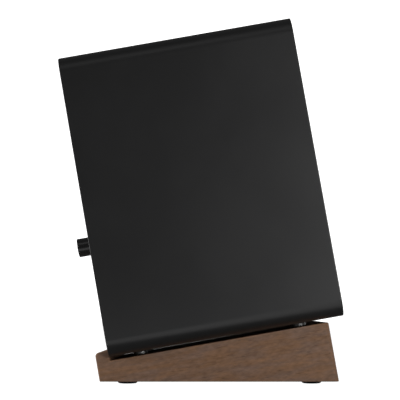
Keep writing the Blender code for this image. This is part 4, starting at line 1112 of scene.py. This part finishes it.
    def build_mark(self, place: np.ndarray) -> None:
        """The usual power mark: a ring open at its top and a bar in the opening, raised by a print's depth."""
        radius, width, rise = 1.35 * MM, 0.3 * MM, 0.04 * MM
        gap = math.radians(38)
        angle = np.linspace(math.pi / 2 + gap, math.pi * 5 / 2 - gap, 40)
        strokes = {
            "ring": np.stack([np.cos(angle), np.sin(angle)], axis=-1) * radius,
            "bar": np.stack([np.zeros(6), np.linspace(0.15 * MM, 1.65 * MM, 6)], axis=-1),
        }
        for name, line in strokes.items():
            along = np.gradient(line, axis=0)
            along /= np.linalg.norm(along, axis=1)[:, None]
            side = np.stack([-along[:, 1], along[:, 0]], axis=-1) * width / 2
            section = [(line + side, 0.0), (line + side, rise), (line - side, rise), (line - side, 0.0)]
            rows = [np.stack([flat[:, 0], np.full(len(flat), lift), flat[:, 1]], axis=-1) for flat, lift in section]
            grid = self.axes.world(np.stack(rows, axis=1) + place)
            Piece(f"power_mark_{name}", Palette.PRINT, Body.BUTTON, slot="white_plastic").surface(grid)


@dataclass
class Knob:
    """The turned knob on the encoder's shaft."""

    axes: CaseAxes
    ease: float = 0.55 * MM
    dish: float = 0.12 * MM

    def build(self) -> None:
        """A plain cylinder with an eased end, a faint dish in its face, and its bore."""
        box, shaft = self.axes.box("knob"), self.axes.box("encoder_shaft")
        radius, length = box.size[0] / 2, box.size[1]
        bore = 3.0 * MM + CLEARANCE
        bore_end = shaft.high[1] + CLEARANCE - box.low[1]
        centre = self.axes.at(box.middle[0], box.low[1], box.middle[2])
        profile = filleted([
            Corner(0.2 * MM, length - self.dish), Corner(radius - 1.6 * MM, length - self.dish, 1.0 * MM),
            Corner(radius - 1.2 * MM, length, 0.2 * MM), Corner(radius, length, self.ease),
            Corner(radius, 0.0, 0.2 * MM), Corner(bore, 0.0, 0.1 * MM), Corner(bore, bore_end),
            Corner(0.2 * MM, bore_end),
        ], closed=False, steps=6, support=0.1 * MM)
        piece = Piece("turned_knob", Palette.KNOB, Body.KNOB, ("knob",), "knob_aluminium")
        piece.surface(turned(profile, centre, self.axes.back, 96))


@dataclass
class Base:
    """The walnut wedge with its lip, the feet under it, and the screws and washers that hold the case."""

    axes: CaseAxes
    front_corner: float = 3.5 * MM
    rear_corner: float = 1.1 * MM
    side_ease: float = 0.35 * MM
    lip_round: float = 2.2 * MM
    front_round: float = 1.0 * MM
    small_round: float = 0.4 * MM
    head_radius: float = 3.5 * MM
    head_height: float = 4.0 * MM
    steps: int = 9

    def build(self) -> None:
        """The wedge, then its hardware."""
        wedge = self.build_wedge()
        self.drill(wedge)
        for number in range(1, 5):
            self.build_foot(f"base_foot_{number}")
            self.build_washer(f"base_spacer_{number}")
            self.build_screw(f"base_screw_{number}")

    def section(self) -> tuple[np.ndarray, float, float]:
        """The wedge's side outline in the case's frame.

        Returns:
            The outline's points, and the height and slope of the level underside as a line z = a + b y.
        """
        points = self.axes.local(node_points(self.axes.nodes["walnut_base"]))
        low, high = points.min(axis=0), points.max(axis=0)
        slope = math.tan(math.asin(float(-self.axes.back[2])))
        rise = float((points[:, 2] - slope * points[:, 1]).min())
        seat = -float(self.axes.box("base_spacer_1").size[2]) - 2 * CLEARANCE
        lip_inner = CLEARANCE
        rear, front, top = high[1], low[1], high[2]
        outline = filleted([
            Corner(rear, rise + slope * rear, self.small_round),
            Corner(rear, top, self.lip_round),
            Corner(lip_inner, top, 0.6 * MM),
            Corner(lip_inner, seat, 0.8 * MM),
            Corner(front, seat, self.front_round),
            Corner(front, rise + slope * front, self.small_round),
        ], steps=6, support=0.3 * MM)
        return outline, rise, slope

    def build_wedge(self) -> bpy.types.Object:
        """The outline carried across the width, its ends and its top and underside drawing in near each side.

        At a distance d from where a rounding starts the inset is r - sqrt(r^2 - d^2). The front face, the rear
        face and the rest each have their own radius. The end faces stay parallel as they move in, and the
        underside stays on its own slope.
        """
        outline, rise, slope = self.section()
        half = self.axes.box("walnut_base").size[0] / 2
        along = np.roll(outline, -1, axis=0) - np.roll(outline, 1, axis=0)
        normals = np.stack([along[:, 1], -along[:, 0]], axis=-1)
        normals /= np.linalg.norm(normals, axis=1)[:, None]
        following = np.roll(outline, -1, axis=0)
        area = float(np.sum(outline[:, 0] * following[:, 1] - following[:, 0] * outline[:, 1]))
        normals *= math.copysign(1.0, area)
        depth, height = outline[:, 0], outline[:, 1]
        front = np.clip((depth.min() + 4 * self.front_corner - depth) / (2.5 * self.front_corner), 0, 1)
        rear = np.clip((depth - 2.2 * MM) / (depth.max() - self.lip_round - 2.2 * MM), 0, 1)
        fall = np.clip((height.max() - height) / (height.max() - (rise + slope * depth)), 0, 1)
        quarter = np.linspace(0, math.pi / 2, self.steps)
        reaches = np.unique(np.round(np.concatenate([
            [0.0, (half - self.front_corner) / 2],
            half - self.front_corner + self.front_corner * np.sin(quarter),
            half - self.rear_corner + self.rear_corner * np.sin(quarter[::2]),
            half - self.side_ease + self.side_ease * np.sin(quarter[::2]),
        ]), 7))
        stations = np.concatenate([-reaches[:0:-1], reaches])

        def inset(radius: float) -> np.ndarray:
            """How far a surface has drawn in at each station."""
            past = np.clip(np.abs(stations) - (half - radius), 0, radius)
            return (radius - np.sqrt(np.maximum(radius**2 - past**2, 0)))[:, None]

        shift = inset(self.front_corner) * front - inset(self.rear_corner) * rear
        drop = inset(self.side_ease) * normals[:, 1]
        flat = np.stack([depth + shift, height + slope * shift * fall - drop], axis=-1)
        across = np.broadcast_to(stations[:, None, None], flat.shape[:2] + (1,))
        grid = self.axes.world(np.concatenate([across, flat], axis=-1))
        piece = Piece("walnut_wedge", Palette.WALNUT, stands_for=("walnut_base",), slot="walnut", crease=50)
        return piece.surface(grid)

    def drill(self, wedge: bpy.types.Object) -> None:
        """Cuts the four counterbores into the underside, up to the screws' heads."""
        cutter_mesh = bpy.data.meshes.new("counterbores")
        merged, steps, reach = bmesh.new(), 40, -60 * MM  # the cutter runs out below the underside
        for number in range(1, 5):
            box = self.axes.box(f"base_screw_{number}")
            place = self.axes.at(box.middle[0], box.middle[1], box.low[2] + self.head_height + CLEARANCE)
            rings = turned(
                np.array([(self.head_radius + CLEARANCE, 0.0), (self.head_radius + CLEARANCE, reach)]),
                place, self.axes.up, steps,
            )
            index = [[merged.verts.new(point) for point in ring] for ring in rings]
            for k in range(steps):
                after = (k + 1) % steps
                merged.faces.new((index[0][k], index[0][after], index[1][after], index[1][k]))
            merged.faces.new(index[0])
            merged.faces.new(index[1])
        bmesh.ops.recalc_face_normals(merged, faces=merged.faces)
        merged.to_mesh(cutter_mesh)
        merged.free()
        cutter = linked("counterbores", cutter_mesh)
        boolean = wedge.modifiers.new("counterbores", "BOOLEAN")
        boolean.operation = "DIFFERENCE"
        boolean.solver = "EXACT"
        boolean.object = cutter
        bpy.context.view_layer.update()
        mesh = bpy.data.meshes.new_from_object(wedge.evaluated_get(bpy.context.evaluated_depsgraph_get()))
        wedge.modifiers.clear()
        wedge.data = mesh
        bpy.data.objects.remove(cutter)

    def build_foot(self, node: str) -> None:
        """A domed rubber bumper: z = h (1 - (1 - s^2)^(1/2.4)) from its rim to its flat crown."""
        low, high = (np.array(corner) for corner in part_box(node))
        middle = (low + high) / 2
        radius = (high[0] - low[0]) / 2
        crown = radius * 0.62
        share = np.linspace(0, 1, 12)
        radii = crown + (radius - crown) * (1 - share**2.4) ** (1 / 2.4)
        heights = (high[2] - 0.5 * MM) * (1 - share)
        profile = np.concatenate([[(radius - 0.15 * MM, high[2])], np.stack([radii, heights], axis=-1)])
        centre = np.array([middle[0], middle[1], 0.0])
        grid = turned(profile, centre, np.array((0.0, 0.0, 1.0)), 64)
        Piece("bumper_" + node[-1], Palette.RUBBER, stands_for=(node,), slot="rubber").surface(grid)

    def build_washer(self, node: str) -> None:
        """A dull steel spacer washer between the seat and the case."""
        box = self.axes.box(node)
        centre = self.axes.at(box.middle[0], box.middle[1], 0.0)
        outer, inner = box.size[0] / 2, 2.3 * MM
        section = filleted([
            Corner(outer, box.high[2], 0.25 * MM), Corner(outer, box.low[2], 0.25 * MM),
            Corner(inner, box.low[2], 0.1 * MM), Corner(inner, box.high[2], 0.1 * MM),
        ], steps=4, support=0.03 * MM)
        grid = turned(section, centre, self.axes.up, 56)
        piece = Piece("washer_" + node[-1], Palette.WASHER, stands_for=(node,), slot="plated_steel")
        piece.surface(grid, wrap=True)

    def build_screw(self, node: str) -> None:
        """A cap screw with a hexagonal socket, head down."""
        box = self.axes.box(node)
        seat = box.low[2] + self.head_height
        centre = self.axes.at(box.middle[0], box.middle[1], seat)
        head, shank, length = self.head_radius, 2.0 * MM, box.high[2] - seat
        profile = filleted([
            Corner(shank * 0.6, -length), Corner(shank, -length + 0.6 * MM, 0.1 * MM), Corner(shank, 0.0, 0.1 * MM),
            Corner(head, 0.0, 0.2 * MM), Corner(head, self.head_height - 0.4 * MM, 0.2 * MM),
            Corner(head - 0.4 * MM, self.head_height),
        ], closed=False, steps=3, support=0.05 * MM)
        grid = socketed(profile, 1.5 * MM, 2.0 * MM, centre, -self.axes.up)
        Piece("cap_" + node, Palette.BLACK_STEEL, stands_for=(node,), slot="black_steel").surface(grid)


@dataclass
class Carried:
    """The CAD nodes that stay as they are and only get a finish."""

    model: dict

    def dress(self) -> None:
        """Gives each node the finish of its own material slot."""
        for part in self.model["record"]["subparts"]:
            node = self.model["nodes"][part["node"]]
            material = CARRIED[part["material_slot"]].material()
            node.data.materials.clear()
            node.data.materials.append(material)
            LOG.info("%s carried, %s", part["node"], material.name)


# --------------------------------------------------------------------------------------------------
# Studio


@dataclass(frozen=True)
class Softbox:
    """A soft rectangular light aimed at a point."""

    name: str
    place: tuple[float, float, float]
    aim: tuple[float, float, float]
    size: tuple[float, float]
    watts: float

    def build(self) -> None:
        """Adds the light."""
        data = bpy.data.lights.new(self.name, "AREA")
        data.shape = "RECTANGLE"
        data.size, data.size_y = self.size
        data.energy = self.watts
        light = linked(self.name, data)
        light.visible_camera = False
        light.location = self.place
        light.rotation_mode = "QUATERNION"
        direction = bpy.context.scene.cursor.location.copy()
        direction.xyz = [aim - place for aim, place in zip(self.aim, self.place)]
        light.rotation_quaternion = direction.to_track_quat("-Z", "Y")


@dataclass
class Studio:
    """A pale floor, soft light and the camera at the side of the case."""

    axes: CaseAxes
    lens: float = 127.7
    sensor: float = 36.0
    distance: float = 840.0 * MM  # from the case's near side
    stand: tuple[float, float] = (-11.0 * MM, 45.0 * MM)  # how far back and how high the camera stands
    rise: float = math.radians(3.4)  # how far up it looks
    shift: tuple[float, float] = (-0.0462, 0.0618)
    floor_size: float = 8.0
    ambient: float = 0.105
    backdrop: float = 1.6
    floor_glow: float = 1.05
    lights: tuple[Softbox, ...] = (
        Softbox("front side key", (-1.059, -0.563, 0.142), (0.0, 0.0, 0.1), (0.4, 0.4), 4.6),
        Softbox("front fill", (-0.945, -0.738, 0.142), (0.0, 0.0, 0.1), (0.4, 0.4), 1.8),
        Softbox("side strip", (-0.966, -0.0, 0.97), (0.0, 0.0, 0.1), (0.9, 0.25), 0.36),
        Softbox("side top strip", (-0.764, -0.0, 1.152), (0.0, 0.0, 0.1), (0.9, 0.25), 0.21),
        Softbox("low card", (-0.2, 0.0, 0.004), (-0.2, 0.0, 1.0), (0.12, 0.5), 0.12),
        Softbox("near card", (-0.135, 0.0, 0.004), (-0.135, 0.0, 1.0), (0.07, 0.4), 0.05),
        Softbox("far card", (-0.7, -0.2, 0.004), (-0.7, -0.2, 1.0), (0.3, 0.6), 0.1),
        Softbox("rear fill", (-0.205, 1.164, 0.308), (0.0, 0.0, 0.1), (0.4, 0.4), 9.0),
        Softbox("far rear fill", (0.5, 1.1, 0.3), (0.0, 0.0, 0.1), (0.8, 0.6), 6.0),
        Softbox("front far fill", (0.6, -1.1, 0.5), (0.0, 0.0, 0.1), (1.0, 1.0), 4.0),
    )

    def build(self) -> None:
        """World, floor, lights, camera and plain display of values."""
        bpy.context.scene.view_settings.view_transform = "Standard"
        self.build_world()
        self.build_floor()
        for light in self.lights:
            light.build()
        self.build_camera()

    def build_world(self) -> None:
        """White where the camera looks straight at it, and a dim grey surround as light."""
        world = bpy.data.worlds.new("studio")
        world.use_nodes = True
        bpy.context.scene.world = world
        sketch = Sketch(world.node_tree)
        world.node_tree.nodes.clear()
        seen = sketch.node("ShaderNodeLightPath").outputs["Is Camera Ray"]
        strength = sketch.remap(seen, 0.0, 1.0, self.ambient, self.backdrop)
        background = sketch.node("ShaderNodeBackground", Color=(1.0, 1.0, 1.0, 1.0), Strength=strength)
        out = sketch.node("ShaderNodeOutputWorld")
        sketch.feed(out.inputs[0], background.outputs[0])

    def build_floor(self) -> None:
        """A flat pale floor that glows a little to the camera, so that only contact shadows show on it."""
        side = self.floor_size / 2
        mesh = bpy.data.meshes.new("floor")
        corners = [(-side, -side, 0), (side, -side, 0), (side, side, 0), (-side, side, 0)]
        mesh.from_pydata(corners, [], [(0, 1, 2, 3)])
        floor = linked("floor", mesh)
        material = bpy.data.materials.new("floor")
        material.use_nodes = True
        sketch = Sketch(material.node_tree)
        shader = material.node_tree.nodes["Principled BSDF"]
        seen = sketch.node("ShaderNodeLightPath").outputs["Is Camera Ray"]
        sketch.fill(shader, {
            "Base Color": (0.3, 0.3, 0.3, 1.0),
            "Roughness": 0.9,
            "Specular IOR Level": 0.0,
            "Emission Color": (1.0, 1.0, 1.0, 1.0),
            "Emission Strength": sketch.times(seen, self.floor_glow),
        })
        mesh.materials.append(material)

    def build_camera(self) -> None:
        """A low camera square to the case's side, turned and shifted up a little to take in the whole case."""
        near_side = self.axes.box("case_shell").low[0]
        data = bpy.data.cameras.new("camera")
        data.lens = self.lens
        data.sensor_width = self.sensor
        data.shift_x, data.shift_y = self.shift
        camera = linked("camera", data)
        camera.location = (near_side - self.distance, *self.stand)
        camera.rotation_euler = (math.pi / 2 + self.rise, 0.0, -math.pi / 2)
        bpy.context.scene.camera = camera


def main() -> None:
    """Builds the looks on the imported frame."""
    logging.basicConfig(level=logging.INFO, format="%(name)s: %(message)s", stream=sys.stdout)
    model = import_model()
    axes = CaseAxes.from_model(model)
    Studio(axes).build()
    Carried(model).dress()
    for assembly in (Case(axes), Screen(axes), RearPanel(axes), Knob(axes), Base(axes)):
        assembly.build()
        LOG.info("%s built", type(assembly).__name__)


if __name__ == "__main__":
    main()
